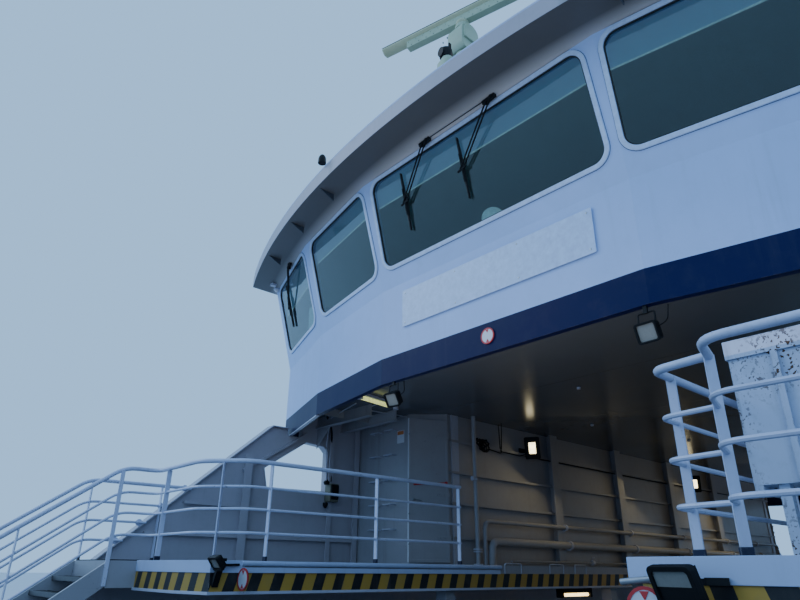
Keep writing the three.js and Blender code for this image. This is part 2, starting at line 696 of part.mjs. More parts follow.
add('locker_aft_starboard', inQuarter(locker(), -1, -1), PAINT.white);
add('locker_fore_port', inQuarter(locker(), 1, 1), PAINT.white);

// Bridge house: deck slab inside the walls, two faceted fronts and two long walls with cut windows.
const slabPlan = planAt(-HOUSE_WALL_THICK - SEAT_GAP, -HOUSE_WALL_THICK - SEAT_GAP);
const bridgeDeck = plate(outline(slabPlan), BRIDGE_DECK_UNDER_Z, BRIDGE_DECK_Z);
add('bridge_deck', toGeometry(toManifold(bridgeDeck)), PAINT.wall);

const WALL_HEIGHTS = [LIP_Z, KNUCKLE_Z, SOFFIT_Z - SEAT_GAP];
const GLASS_HEIGHTS = [SILL_Z - m(0.08), HEAD_Z + m(0.02)];
const GLASS_THICK = m(0.03);
const houseSides = [
  { name: 'front_fore', first: 0, count: 6 },
  { name: 'side_port', first: 5, count: 2 },
  { name: 'front_aft', first: 6, count: 6 },
  { name: 'side_starboard', first: 11, count: 2 },
];

function windowsOn(first, count) {
  if (count > 2) return FRONT_WINDOWS.map(({ from, to }, i) => windowCutter(first + i, from, to));
  const length = HOUSE_HALF_LENGTH * 2;
  const pitch = length / SALOON_WINDOW_COUNT;
  return Array.from({ length: SALOON_WINDOW_COUNT }, (_, i) => {
    const middle = (i + 0.5) * pitch;
    return windowCutter(first, middle - SALOON_WINDOW_LENGTH / 2, middle + SALOON_WINDOW_LENGTH / 2);
  });
}

for (const { name, first, count } of houseSides) {
  const wall = withSeams(wallLevels(first, count, 0, HOUSE_WALL_THICK, WALL_HEIGHTS), SEAT_GAP);
  const cutWall = cut(toManifold(chainWall(wall)), windowsOn(first, count));
  add(`house_${name}`, toGeometry(cutWall), PAINT.white);
  const glassOutset = -HOUSE_WALL_THICK - SEAT_GAP;
  const sheet = withSeams(wallLevels(first, count, glassOutset, GLASS_THICK, GLASS_HEIGHTS), m(0.06));
  add(`glazing_${name}`, toGeometry(toManifold(chainWall(sheet))), PAINT.glass);
}

// Roof with a curved visor over each front.
function roofShape() {
  const centreX = VISOR_TIP_X - VISOR_RADIUS;
  const half = Math.asin(ROOF_HALF_WIDTH / VISOR_RADIUS);
  const steps = 14;
  const arc = Array.from({ length: steps + 1 }, (_, i) => {
    const angle = -half + (2 * half * i) / steps;
    return [centreX + VISOR_RADIUS * Math.cos(angle), VISOR_RADIUS * Math.sin(angle)];
  });
  return outline([...arc, ...arc.map(([x, y]) => [-x, -y])]);
}

add('bridge_roof', toGeometry(toManifold(plate(roofShape(), SOFFIT_Z, ROOF_Z))), PAINT.white);

// Helm consoles inside each front.
for (const { end, endName } of ENDS) {
  const foot = BRIDGE_DECK_Z + SEAT_GAP;
  const shape = outline([
    [m(9.2), foot], [m(9.9), foot], [m(9.9), m(9.45)], [m(9.55), m(9.45)], [m(9.1), m(9.2)],
  ]);
  const console = toGeometry(toManifold(uprightPlate(shape, -m(1.6), m(1.6))));
  add(`helm_console_${endName}`, inQuarter(console, end, 1), PAINT.machinery);
}

// Radar: a pedestal on the roof at each end, off the centreline, and a scanner that turns on it.
const RADAR = { x: m(11.63), y: m(0.33), housingZ: [m(11.78), m(12.08)], axisTopZ: m(12.16) };
const SCANNER = { z: [m(12.22), m(12.4)], length: m(2.54), halfDepth: m(0.08), restDegrees: 105 };
for (const { end, endName } of ENDS) {
  const pedestal = joined([
    upright(m(0.22), RADAR.x, RADAR.y, [ROOF_Z + SEAT_GAP, ROOF_Z + m(0.06)]),
    upright(m(0.11), RADAR.x, RADAR.y, [ROOF_Z + m(0.03), RADAR.housingZ[0] + m(0.03)]),
    box([RADAR.x - m(0.19), RADAR.x + m(0.19)], [RADAR.y - m(0.16), RADAR.y + m(0.16)], RADAR.housingZ),
    upright(m(0.1), RADAR.x, RADAR.y, [RADAR.housingZ[0], RADAR.axisTopZ]),
  ]);
  add(`radar_pedestal_${endName}`, inQuarter(toGeometry(pedestal), end, end), PAINT.scanner);
  const [axisX, axisY] = [RADAR.x * end, RADAR.y * end];
  const { length, halfDepth, z, restDegrees } = SCANNER;
  const arm = box([-length / 2, length / 2], [-halfDepth, halfDepth], z);
  arm.rotateZ(THREE.MathUtils.degToRad(restDegrees)).translate(axisX, axisY, 0);
  const hub = upright(m(0.07), axisX, axisY, [RADAR.axisTopZ + SEAT_GAP, z[1] - m(0.02)], 10);
  add(`radar_scanner_${endName}`, toGeometry(joined([arm, hub])), PAINT.scanner);
}

// Signal mast with two crosstrees amidships.
const MAST_TOP_Z = m(15.2);
const mast = joined([
  upright(m(0.16), 0, 0, [ROOF_Z + SEAT_GAP, MAST_TOP_Z], 12, m(0.08)),
  box([-m(0.05), m(0.05)], [-m(1.3), m(1.3)], [m(13.6), m(13.7)]),
  box([-m(0.05), m(0.05)], [-m(0.7), m(0.7)], [m(14.5), m(14.58)]),
]);
add('signal_mast', toGeometry(mast), PAINT.white);

// Exhaust funnels and life-raft canisters on the roof, one of each to a side.
for (const { side, sideName } of SIDES) {
  const trunk = outline([
    [m(-1.3), ROOF_Z + SEAT_GAP], [m(1.3), ROOF_Z + SEAT_GAP], [m(1.0), m(12.9)], [m(-1.0), m(12.9)],
  ]);
  const pipes = [-m(0.45), m(0.45)].map((x) => upright(m(0.14), x, m(4.8), [m(12.8), m(13.35)]));
  const funnel = toGeometry(joined([uprightPlate(trunk, m(4.3), m(5.3)), ...pipes]));
  add(`funnel_${sideName}`, inQuarter(funnel, 1, side), PAINT.hullNavy);

  const canister = new THREE.CylinderGeometry(m(0.32), m(0.32), m(1.5), 12).rotateZ(Math.PI / 2);
  canister.translate(m(4.5), m(5.6), ROOF_Z + m(0.55));
  const cradles = [m(4.1), m(4.9)].map((x) => box(
    [x - m(0.05), x + m(0.05)], [m(5.3), m(5.9)], [ROOF_Z + SEAT_GAP, ROOF_Z + m(0.42)],
  ));
  const raft = toGeometry(joined([canister, ...cradles]));
  add(`raft_canister_${sideName}`, inQuarter(raft, 1, side), PAINT.white);
}

// Ramps, raised: hinged at the deck ends, leaning outwards.
const RAMP_LENGTH = m(5.0);
const RAMP_THICK = m(0.24);
const RAMP_SIDE_CLEAR = m(0.03);
const RAMP_RAISED_DEGREES = 75;
for (const { end, endName } of ENDS) {
  const width = [-RAMP_HALF_WIDTH + RAMP_SIDE_CLEAR, RAMP_HALF_WIDTH - RAMP_SIDE_CLEAR];
  const girders = [-m(3.1), -m(1.05), m(1.05), m(3.1)].map((y) => box(
    [m(0.1), RAMP_LENGTH - m(0.4)],
    [y - m(0.06), y + m(0.06)],
    [-RAMP_THICK, -m(0.05)],
  ));
  const panel = joined([
    box([m(0.1), RAMP_LENGTH], width, [-m(0.1), m(0)]),
    ...girders,
    new THREE.CylinderGeometry(m(0.1), m(0.1), (RAMP_HALF_WIDTH - SEAT_GAP) * 2, 12),
    box([m(0), m(0.3)], width, [-m(0.09), m(0)]),
  ]);
  const ramp = toGeometry(panel).rotateY(-THREE.MathUtils.degToRad(RAMP_RAISED_DEGREES));
  ramp.translate(RAMP_HINGE[0], 0, RAMP_HINGE[1]);
  add(`ramp_${endName}`, inQuarter(ramp, end, 1), PAINT.white);
}

// Thrusters under the cut-up ends: a leg that steers and a propeller that turns.
const SHAFT_Z = m(0.8);
const PROPELLER_RADIUS = m(0.66);
const POD_HALF = m(0.55);

function blade(turn) {
  const shape = outline([
    [m(0.1), -m(0.07)], [m(0.42), -m(0.22)], [m(0.62), -m(0.14)], [PROPELLER_RADIUS, m(0.02)],
    [m(0.6), m(0.18)], [m(0.36), m(0.2)], [m(0.1), m(0.08)],
  ]);
  const pitch = THREE.MathUtils.degToRad(28);
  return plate(shape, -m(0.018), m(0.018)).rotateX(pitch).rotateY(Math.PI / 2).rotateX(turn);
}

for (const { end, endName } of ENDS) {
  const pod = new THREE.CylinderGeometry(m(0.24), m(0.2), POD_HALF * 2, 12).rotateZ(Math.PI / 2);
  const leg = joined([
    upright(m(0.3), THRUSTER_X, 0, [SHAFT_Z, THRUSTER_SEAT_Z - SEAT_GAP], 12, m(0.4)),
    pod.translate(THRUSTER_X, 0, SHAFT_Z),
  ]);
  add(`thruster_leg_${endName}`, inQuarter(toGeometry(leg), end, 1), PAINT.machinery);
  const hubStart = THRUSTER_X + POD_HALF + SEAT_GAP;
  const hub = new THREE.CylinderGeometry(m(0.08), m(0.2), m(0.34), 12).rotateZ(-Math.PI / 2);
  const screw = joined([hub, ...[0, 1, 2, 3].map((i) => blade((i * Math.PI) / 2))]);
  const propeller = toGeometry(screw).translate(hubStart + m(0.17), 0, SHAFT_Z);
  add(`propeller_${endName}`, inQuarter(propeller, end, 1), PAINT.bronze);
}

export default group;
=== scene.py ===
# %% [markdown]
# This lesson dresses a double-ended car ferry, a model at half the size of the real ship.
# The hull, walls, stairs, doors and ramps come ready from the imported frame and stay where
# they are. Blender adds the paint, the glass and the hundreds of fittings that a ship
# carries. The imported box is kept, so that the dressed ship can be held against it.

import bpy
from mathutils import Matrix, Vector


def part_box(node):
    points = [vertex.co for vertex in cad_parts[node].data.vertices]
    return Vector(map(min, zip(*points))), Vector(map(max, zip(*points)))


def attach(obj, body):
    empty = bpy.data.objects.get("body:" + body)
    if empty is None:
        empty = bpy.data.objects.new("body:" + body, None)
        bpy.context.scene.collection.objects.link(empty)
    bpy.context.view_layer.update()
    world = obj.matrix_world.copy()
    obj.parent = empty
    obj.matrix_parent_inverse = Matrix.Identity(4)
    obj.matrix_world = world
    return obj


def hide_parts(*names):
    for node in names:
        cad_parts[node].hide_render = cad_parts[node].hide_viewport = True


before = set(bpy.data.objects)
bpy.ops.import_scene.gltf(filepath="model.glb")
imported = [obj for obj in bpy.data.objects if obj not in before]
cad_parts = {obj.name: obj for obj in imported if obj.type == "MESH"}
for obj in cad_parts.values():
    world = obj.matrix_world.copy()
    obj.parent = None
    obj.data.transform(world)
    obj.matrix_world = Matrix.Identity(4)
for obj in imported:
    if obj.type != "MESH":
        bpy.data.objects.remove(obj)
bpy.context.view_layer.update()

# %% [markdown]
# Everything below is written in metres of the real ship, because that is how a shipyard
# would give a rail height or a window. One scale turns a finished drawing into the model.
# The heights that the fittings hang on are read from the frame, so they follow it.

# %% Scale and main heights
from collections import namedtuple
from math import asin, atan2, cos, pi, radians, sin, sqrt

import bmesh
import bpy
from mathutils import Matrix, Vector

MODEL_SCALE = 0.5


def real_box(node):
    low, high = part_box(node)
    return low / MODEL_SCALE, high / MODEL_SCALE


DECK = 3.0
WATERLINE = 1.9
PLATFORM = real_box("platform_port")[1].z
PLATFORM_UNDER = PLATFORM - 0.32
CEILING = real_box("bridge_deck")[0].z
LIP = real_box("house_front_fore")[0].z
SOFFIT = real_box("bridge_roof")[0].z
ROOF = real_box("bridge_roof")[1].z
KNUCKLE = 9.183
FRONT_X = 11.0
PLATFORM_EDGE_Y = 2.52
CASING_Y = 3.82
SHELL_INNER_Y = 5.87
SHELL_OUTER_Y = 6.0
print("platform", round(PLATFORM, 3), "ceiling", round(CEILING, 3), "soffit", round(SOFFIT, 3))

# %% [markdown]
# A ship is drawn in quarters. Each fitting is drawn once, in the forward port quarter, and
# placed again by flipping X for the other end and Y for the other side. A drawing is only a
# list of points and faces, so copies are cheap. Lofting one ring of points to the next gives
# boxes, plates, pipes and turned shapes from one function.

# %% A drawing and its quarters
class Drawing:
    """Points and faces of a fitting, in real metres, forward and to port."""

    def __init__(self):
        self.points = []
        self.faces = []

    def add(self, points, faces):
        start = len(self.points)
        self.points += [Vector(p) for p in points]
        self.faces += [tuple(start + i for i in face) for face in faces]
        return self

    def loft(self, rings, wrap=False):
        count = len(rings[0])
        points = [p for ring in rings for p in ring]
        spans = len(rings) if wrap else len(rings) - 1
        faces = []
        for r in range(spans):
            low, high = r * count, ((r + 1) % len(rings)) * count
            for i in range(count):
                j = (i + 1) % count
                faces.append((low + i, low + j, high + j, high + i))
        if not wrap:
            faces.append(tuple(reversed(range(count))))
            faces.append(tuple(range(len(points) - count, len(points))))
        return self.add(points, faces)

    def placed(self, end=1, side=1):
        copy = Drawing()
        flip = Vector((end, side, 1))
        copy.points = [p * flip for p in self.points]
        copy.faces = list(self.faces)
        return copy


QUARTERS = [(end, side) for end in (1, -1) for side in (1, -1)]
PORT_AFT_AND_TURNED = [(-1, 1), (1, -1)]
STARBOARD_AFT_AND_TURNED = [(-1, -1), (1, 1)]
PORT_AND_STARBOARD = [(1, 1), (1, -1)]
ENDS = {"fore": 1, "aft": -1}
SIDES = {"port": 1, "starboard": -1}


def everywhere(drawing, places=tuple(QUARTERS)):
    return [drawing.placed(end, side) for end, side in places]


def both_sides(end):
    return [(end, 1), (end, -1)]


def new_drawings(count):
    return [Drawing() for _ in range(count)]


print("quarters:", QUARTERS)

# %% [markdown]
# Flat work needs a flat surface to draw on: a bridge window lies on a wall that is turned
# and leans out. A Plane gives u along the wall, v up it and w out of it. Slabs, frames and
# boxes are rings of such points.

# %% Planes, boxes, slabs and frames
class Plane:
    def __init__(self, origin, u, v):
        self.origin = Vector(origin)
        self.u = Vector(u).normalized()
        self.v = Vector(v).normalized()
        self.w = self.u.cross(self.v)

    def at(self, u, v, w=0.0):
        return self.origin + self.u * u + self.v * v + self.w * w


GROUND = Plane((0, 0, 0), (1, 0, 0), (0, 1, 0))
UP = Vector((0, 0, 1))


def cross_plane(x):
    """An upright plane across the ship: u to port, v up and w forward."""
    return Plane((x, 0, 0), (0, 1, 0), (0, 0, 1))


def long_plane(y, ahead=1):
    """An upright plane along the ship: u ahead, w to starboard. With -1, u aft and w to port."""
    return Plane((0, y, 0), (ahead, 0, 0), (0, 0, 1))


def around(middle, half):
    return middle - half, middle + half


def rectangle(u0, u1, v0, v1):
    return [(u0, v0), (u1, v0), (u1, v1), (u0, v1)]


def rounded_rectangle(u0, u1, v0, v1, radius, steps=6):
    corners = [(u1 - radius, v0 + radius, -90), (u1 - radius, v1 - radius, 0),
               (u0 + radius, v1 - radius, 90), (u0 + radius, v0 + radius, 180)]
    points = []
    for u, v, start in corners:
        for i in range(steps + 1):
            angle = radians(start + 90 * i / steps)
            points.append((u + radius * cos(angle), v + radius * sin(angle)))
    return points


def centred(width, height, radius, steps=4):
    return rounded_rectangle(-width / 2, width / 2, -height / 2, height / 2, radius, steps)


def circle(u, v, radius, steps=24):
    turns = [2 * pi * i / steps for i in range(steps)]
    return [(u + radius * cos(t), v + radius * sin(t)) for t in turns]


def slab(drawing, plane, outline, w0, w1):
    return drawing.loft([[plane.at(u, v, w) for u, v in outline] for w in (w0, w1)])


def collar(drawing, plane, outer, inner, w0, w1):
    rings = [[plane.at(u, v, w) for u, v in line]
             for line, w in ((outer, w0), (outer, w1), (inner, w1), (inner, w0))]
    return drawing.loft(rings, wrap=True)


def box(drawing, x, y, z):
    return slab(drawing, GROUND, rectangle(x[0], x[1], y[0], y[1]), z[0], z[1])


print("corner points in a rounded window:", len(rounded_rectangle(0, 1, 0, 1, 0.1)))

# %% [markdown]
# Pipes and rails are swept: a ring is carried along a path, and each corner is rounded
# first, as a tube bender leaves it. Turned parts such as bollards and lamps are rings around
# an axis. A flat bar is a swept rectangle.

# %% Tubes, bars and turned parts
def rounded_path(corners, bend, steps=5):
    corners = [Vector(c) for c in corners]
    if bend <= 0 or len(corners) < 3:
        return corners
    path = [corners[0]]
    for before, corner, after in zip(corners, corners[1:], corners[2:]):
        reach = min(bend, (before - corner).length * 0.45, (after - corner).length * 0.45)
        start = corner + (before - corner).normalized() * reach
        end = corner + (after - corner).normalized() * reach
        for i in range(steps + 1):
            t = i / steps
            path.append(start * (1 - t) ** 2 + corner * 2 * t * (1 - t) + end * t * t)
    return path + [corners[-1]]


def sweep(drawing, path, section, up):
    """Carries a section of (across, upward) points along a path, cut square at both ends."""
    rings = []
    for i, point in enumerate(path):
        along = (path[min(i + 1, len(path) - 1)] - path[max(i - 1, 0)]).normalized()
        across = along.cross(Vector(up)).normalized()
        raised = across.cross(along).normalized()
        rings.append([point + across * a + raised * b for a, b in section])
    return drawing.loft(rings)


def tube(drawing, corners, radius, bend=0.0, sides=10, up=(0.013, 0.021, 1)):
    path = rounded_path(corners, bend)
    steep = abs((path[-1] - path[0]).normalized().z) > 0.95
    return sweep(drawing, path, circle(0, 0, radius, sides), (1, 0.017, 0.011) if steep else up)


def bar(drawing, start, end, width, depth, up=(0, 0, 1)):
    section = rectangle(-width / 2, width / 2, -depth / 2, depth / 2)
    return sweep(drawing, [Vector(start), Vector(end)], section, up)


def turned(drawing, profile, base, axis=(0, 0, 1), sides=24):
    """Turns (radius, height) points around an axis that starts at base."""
    axis = Vector(axis).normalized()
    side = axis.orthogonal().normalized()
    other = axis.cross(side)
    rings = []
    for radius, height in profile:
        centre = Vector(base) + axis * height
        ring = circle(0, 0, max(radius, 5e-4), sides)
        rings.append([centre + side * a + other * b for a, b in ring])
    return drawing.loft(rings)


def dome(radius, height, steps=5):
    """A rounded cap's profile, from its rim up to its crown."""
    angles = [pi / 2 * i / steps for i in range(steps + 1)]
    return [(radius * cos(a), height * sin(a)) for a in angles]


print("points on a bent rail:", len(rounded_path([(0, 0, 0), (1, 0, 0), (1, 1, 0)], 0.2)))

# %% [markdown]
# One function turns drawings into a piece. It scales them to the model, turns every face
# outwards, rounds the edges a little, because no painted edge is razor sharp, and shades
# round things smooth. The piece then rides on a body of the ship and takes its material.

# %% Make a piece
made_pieces = []
SHARP_EDGE, SMOOTH_LIMIT = radians(50), radians(38)


def make(name, drawings, material, bevel=0.0, slot=None, body="ship", replaces=()):
    work = bmesh.new()
    for drawing in drawings:
        corners = [work.verts.new(p * MODEL_SCALE) for p in drawing.points]
        for face in drawing.faces:
            work.faces.new([corners[i] for i in face])
    bmesh.ops.recalc_face_normals(work, faces=work.faces)
    if bevel > 0:
        sharp = [e for e in work.edges if e.is_manifold and e.calc_face_angle(0) > SHARP_EDGE]
        bmesh.ops.bevel(work, geom=sharp, offset=bevel * MODEL_SCALE, offset_type="OFFSET",
                        segments=2, profile=0.5, affect="EDGES", clamp_overlap=True)
    mesh = bpy.data.meshes.new(name)
    work.to_mesh(mesh)
    work.free()
    mesh.shade_smooth()
    mesh.set_sharp_from_angle(angle=SMOOTH_LIMIT)
    piece = bpy.data.objects.new(name, mesh)
    bpy.context.scene.collection.objects.link(piece)
    mesh.materials.append(material)
    if bevel > 0:
        even = piece.modifiers.new("even_shading", "WEIGHTED_NORMAL")
        even.keep_sharp = True
    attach(piece, body)
    if replaces:
        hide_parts(*replaces)
    made_pieces.append(piece)


# %% Make several pieces
def make_all(places, *rows, head="", tail="", body="ship"):
    """A row is a name, a drawing and its finish: a material, then a bevel and a slot if needed."""
    for name, drawing, *finish in rows:
        make(head + name + tail, everywhere(drawing, places), *finish, body=body)


def new_kit(finishes):
    return {label: Drawing() for label in finishes}


def make_kit(prefix, placed_kits, finishes, tail="", body="ship", stands_for=None):
    """Makes each part that the finishes name, from pairs of a kit and its places."""
    for label, finish in finishes.items():
        drawings = [d for kit, places in placed_kits for d in everywhere(kit[label], places)]
        replaced = (stands_for[label],) if label in (stands_for or {}) else ()
        if any(d.points for d in drawings):
            make(f"{prefix}_{label}{tail}", drawings, *finish, body=body, replaces=replaced)


print("rows and kits make several pieces at once")

# %% [markdown]
# The camera stands where the photographer stood, on the stairs at the aft end, looking up
# and forward. Its place, turn and lens come from the vanishing points of the platform edges,
# the posts and the facets of the bridge front.

# %% Camera
EYE = Vector((-16.343, -4.43, 5.45))
HEADING, PITCH, ROLL = radians(48.41), radians(23.44), radians(0.5925)
FOCAL_PIXELS, IMAGE_WIDTH, SENSOR_WIDTH = 621.0, 800, 36.0

ahead = Vector((cos(HEADING), sin(HEADING), 0))
beside = Vector((sin(HEADING), -cos(HEADING), 0))
forward = ahead * cos(PITCH) + UP * sin(PITCH)
tilted = UP * cos(PITCH) - ahead * sin(PITCH)
right = beside * cos(ROLL) + tilted * sin(ROLL)
up = tilted * cos(ROLL) - beside * sin(ROLL)

camera = bpy.data.objects.new("photographer", bpy.data.cameras.new("photographer"))
bpy.context.scene.collection.objects.link(camera)
turn = Matrix((right, up, -forward)).transposed().to_4x4()
camera.matrix_world = Matrix.Translation(EYE * MODEL_SCALE) @ turn
camera.data.sensor_width = SENSOR_WIDTH
camera.data.lens = FOCAL_PIXELS / IMAGE_WIDTH * SENSOR_WIDTH
camera.data.clip_start, camera.data.clip_end = 0.05, 500
bpy.context.scene.camera = camera
print("lens", round(camera.data.lens, 2), "mm")

# %% [markdown]
# Materials are node trees. These helpers place a node, join it and return its output, so a
# tree reads like the recipe of the paint. A value may be a number or another node's output.

# %% Short ways to place nodes
def place(tree, kind, inputs=None, **settings):
    node = tree.nodes.new(kind)
    for name, value in settings.items():
        setattr(node, name, value)
    for key, value in (inputs or {}).items():
        if isinstance(value, bpy.types.NodeSocket):
            tree.links.new(value, node.inputs[key])
        else:
            node.inputs[key].default_value = value
    return node


def calc(tree, operation, a, b=0.0, c=0.0, clamp=False):
    node = place(tree, "ShaderNodeMath", {0: a, 1: b, 2: c}, operation=operation, use_clamp=clamp)
    return node.outputs[0]


def multiply(tree, first, *others):
    for value in others:
        first = calc(tree, "MULTIPLY", first, value)
    return first


def parts_of(tree, where):
    return place(tree, "ShaderNodeSeparateXYZ", {0: where}).outputs


def ramp(tree, value, low, high):
    """0 below low and 1 above high, with a straight run between."""
    node = place(tree, "ShaderNodeMapRange", {"Value": value, "From Min": low, "From Max": high})
    return node.outputs["Result"]


def blend_colour(tree, mask, under, over):
    node = place(tree, "ShaderNodeMix", {0: mask, 6: under, 7: over}, data_type="RGBA")
    return node.outputs[2]


def noise(tree, where, scale, detail=3.0, roughness=0.55):
    inputs = {"Vector": where, "Scale": scale, "Detail": detail, "Roughness": roughness}
    return place(tree, "ShaderNodeTexNoise", inputs).outputs["Fac"]


def stretched(tree, where, scale):
    node = place(tree, "ShaderNodeVectorMath", {0: where, 1: scale}, operation="MULTIPLY")
    return node.outputs[0]


def object_place(tree):
    return place(tree, "ShaderNodeTexCoord").outputs["Object"]


def rgba(colour, alpha=1.0):
    return (*colour, alpha)


print("node helpers ready")

# %% [markdown]
# Effects that many paints share are node groups with named sockets. The first is sea wear:
# slow clouds of lighter and darker paint, thin dirty runs down the plates, and rust specks.
# A group only puts out masks and a height, and each paint decides what to do with them.

# %% Group: sea wear
def new_group(name, inputs, outputs):
    tree = bpy.data.node_groups.new(name, "ShaderNodeTree")
    for label, kind, value in inputs:
        socket = tree.interface.new_socket(name=label, in_out="INPUT", socket_type=kind)
        if value is not None:
            socket.default_value = value
    for label, kind in outputs:
        tree.interface.new_socket(name=label, in_out="OUTPUT", socket_type=kind)
    entry = tree.nodes.new("NodeGroupInput").outputs
    leave = tree.nodes.new("NodeGroupOutput").inputs
    return tree, entry, leave


FLOAT, VECTOR = "NodeSocketFloat", "NodeSocketVector"
sea_wear, entry, leave = new_group(
    "sea wear",
    [("Place", VECTOR, None), ("Runs", FLOAT, 0.3), ("Specks", FLOAT, 0.1)],
    [("Clouds", FLOAT), ("Dirt", FLOAT), ("Rust", FLOAT), ("Height", FLOAT)],
)
spot = entry["Place"]
clouds = noise(sea_wear, spot, 1.7, 5.0, 0.6)
run_lines = noise(sea_wear, stretched(sea_wear, spot, (16, 16, 0.9)), 1.0, 4.0, 0.7)
run_patches = noise(sea_wear, stretched(sea_wear, spot, (2.1, 2.1, 1.1)), 1.0, 2.0)
runs = multiply(sea_wear, ramp(sea_wear, run_lines, 0.52, 0.78), ramp(sea_wear, run_patches, 0.42, 0.68))
smudges = multiply(sea_wear, ramp(sea_wear, noise(sea_wear, spot, 9.0, 6.0, 0.7), 0.5, 0.85), 0.5)
dirt = calc(sea_wear, "MULTIPLY", calc(sea_wear, "ADD", runs, smudges), entry["Runs"], clamp=True)
speck_limit = calc(sea_wear, "MULTIPLY_ADD", entry["Specks"], -0.15, 0.715)
speck_noise = noise(sea_wear, spot, 65.0, 3.0, 0.6)
specks = ramp(sea_wear, speck_noise, speck_limit, calc(sea_wear, "ADD", speck_limit, 0.02))
speck_patches = ramp(sea_wear, noise(sea_wear, spot, 3.1, 3.0), 0.5, 0.62)
rust = calc(sea_wear, "MULTIPLY", multiply(sea_wear, specks, speck_patches), entry["Specks"], clamp=True)
peel = multiply(sea_wear, noise(sea_wear, spot, 240.0, 2.0), 0.04)
swell = noise(sea_wear, spot, 3.4, 2.0, 0.4)
sea_wear.links.new(clouds, leave["Clouds"])
sea_wear.links.new(dirt, leave["Dirt"])
sea_wear.links.new(rust, leave["Rust"])
sea_wear.links.new(calc(sea_wear, "ADD", peel, swell), leave["Height"])
print("group made:", sea_wear.name)

# %% [markdown]
# The second group finds edges, where hands, ropes and chains rub the paint. Blender's Bevel
# node gives the normal of a rounded edge, and where that differs from the true normal there
# is an edge. The third draws a level band between two heights, such as the navy stripe.

# %% Groups: rubbed edges and height bands
rubbed_edges, entry, leave = new_group(
    "rubbed edges", [("Place", VECTOR, None), ("Amount", FLOAT, 0.5)], [("Mask", FLOAT)]
)
soft_normal = place(rubbed_edges, "ShaderNodeBevel", {"Radius": 0.006}, samples=4).outputs[0]
true_normal = place(rubbed_edges, "ShaderNodeNewGeometry").outputs["True Normal"]
likeness = place(rubbed_edges, "ShaderNodeVectorMath", {0: soft_normal, 1: true_normal},
                 operation="DOT_PRODUCT").outputs["Value"]
edge = ramp(rubbed_edges, calc(rubbed_edges, "SUBTRACT", 1.0, likeness), 0.02, 0.12)
worn = ramp(rubbed_edges, noise(rubbed_edges, entry["Place"], 21.0, 4.0, 0.7), 0.5, 0.62)
rubbed_edges.links.new(multiply(rubbed_edges, edge, worn, entry["Amount"]), leave["Mask"])

height_band, entry, leave = new_group(
    "height band",
    [("Place", VECTOR, None), ("Low", FLOAT, 0.0), ("High", FLOAT, 1.0)],
    [("Mask", FLOAT)],
)
level = parts_of(height_band, entry["Place"])["Z"]
above = calc(height_band, "GREATER_THAN", level, entry["Low"])
below = calc(height_band, "LESS_THAN", level, entry["High"])
height_band.links.new(multiply(height_band, above, below), leave["Mask"])
print("groups made:", rubbed_edges.name, "and", height_band.name)

# %% [markdown]
# Plates are welded to frames behind them, and the paint shows each seam as a faint line.
# This group draws lines at an even pitch along X and along Z. The last group paints hazard
# stripes: bars that lean, all round the edge of a platform.

# %% Groups: plate seams and hazard stripes
plate_seams, entry, leave = new_group(
    "plate seams",
    [("Place", VECTOR, None), ("Pitch X", FLOAT, 1.2), ("Pitch Z", FLOAT, 1.0), ("Width", FLOAT, 0.004)],
    [("Mask", FLOAT)],
)
spot = parts_of(plate_seams, entry["Place"])


def line_mask(tree, value, pitch, width):
    offset = calc(tree, "PINGPONG", value, multiply(tree, pitch, 0.5))
    return calc(tree, "SUBTRACT", 1.0, ramp(tree, offset, 0.0, width))


across_lines = line_mask(plate_seams, spot["X"], entry["Pitch X"], entry["Width"])
level_lines = line_mask(plate_seams, spot["Z"], entry["Pitch Z"], entry["Width"])
plate_seams.links.new(calc(plate_seams, "MAXIMUM", across_lines, level_lines), leave["Mask"])

hazard_stripes, entry, leave = new_group(
    "hazard stripes",
    [("Place", VECTOR, None), ("Pitch", FLOAT, 0.1425), ("Lean", FLOAT, 0.32)],
    [("Mask", FLOAT)],
)
spot = parts_of(hazard_stripes, entry["Place"])
round_edge = calc(hazard_stripes, "ADD", calc(hazard_stripes, "ABSOLUTE", spot["X"]),
                  calc(hazard_stripes, "ABSOLUTE", spot["Y"]))
leaning = calc(hazard_stripes, "MULTIPLY_ADD", spot["Z"], entry["Lean"], round_edge)
share = calc(hazard_stripes, "FRACT", calc(hazard_stripes, "DIVIDE", leaning, entry["Pitch"]))
hazard_stripes.links.new(calc(hazard_stripes, "LESS_THAN", share, 0.48), leave["Mask"])
print("groups made:", plate_seams.name, "and", hazard_stripes.name)

# %% [markdown]
# A ship's paint is one recipe with different numbers: a colour, how shiny it is, how much
# dirt runs down it, how much rust shows, and which coats of other colours it carries. A
# coat is a band, stripe or line: a colour and a function that draws its mask. Coats are laid
# on in order, before the dirt.

# %% The paint recipe
def use_group(tree, group, **values):
    node = tree.nodes.new("ShaderNodeGroup")
    node.node_tree = group
    for label, value in values.items():
        socket = node.inputs[label.replace("_", " ")]
        if isinstance(value, bpy.types.NodeSocket):
            tree.links.new(value, socket)
        else:
            socket.default_value = value
    return node.outputs


def new_material(name):
    material = bpy.data.materials.new(name)
    material.use_nodes = True
    tree = material.node_tree
    return material, tree, tree.nodes["Principled BSDF"]


DIRT_COLOUR = (0.16, 0.15, 0.14)
RUST_COLOUR = (0.1, 0.05, 0.03)
BARE_STEEL = (0.35, 0.36, 0.38)


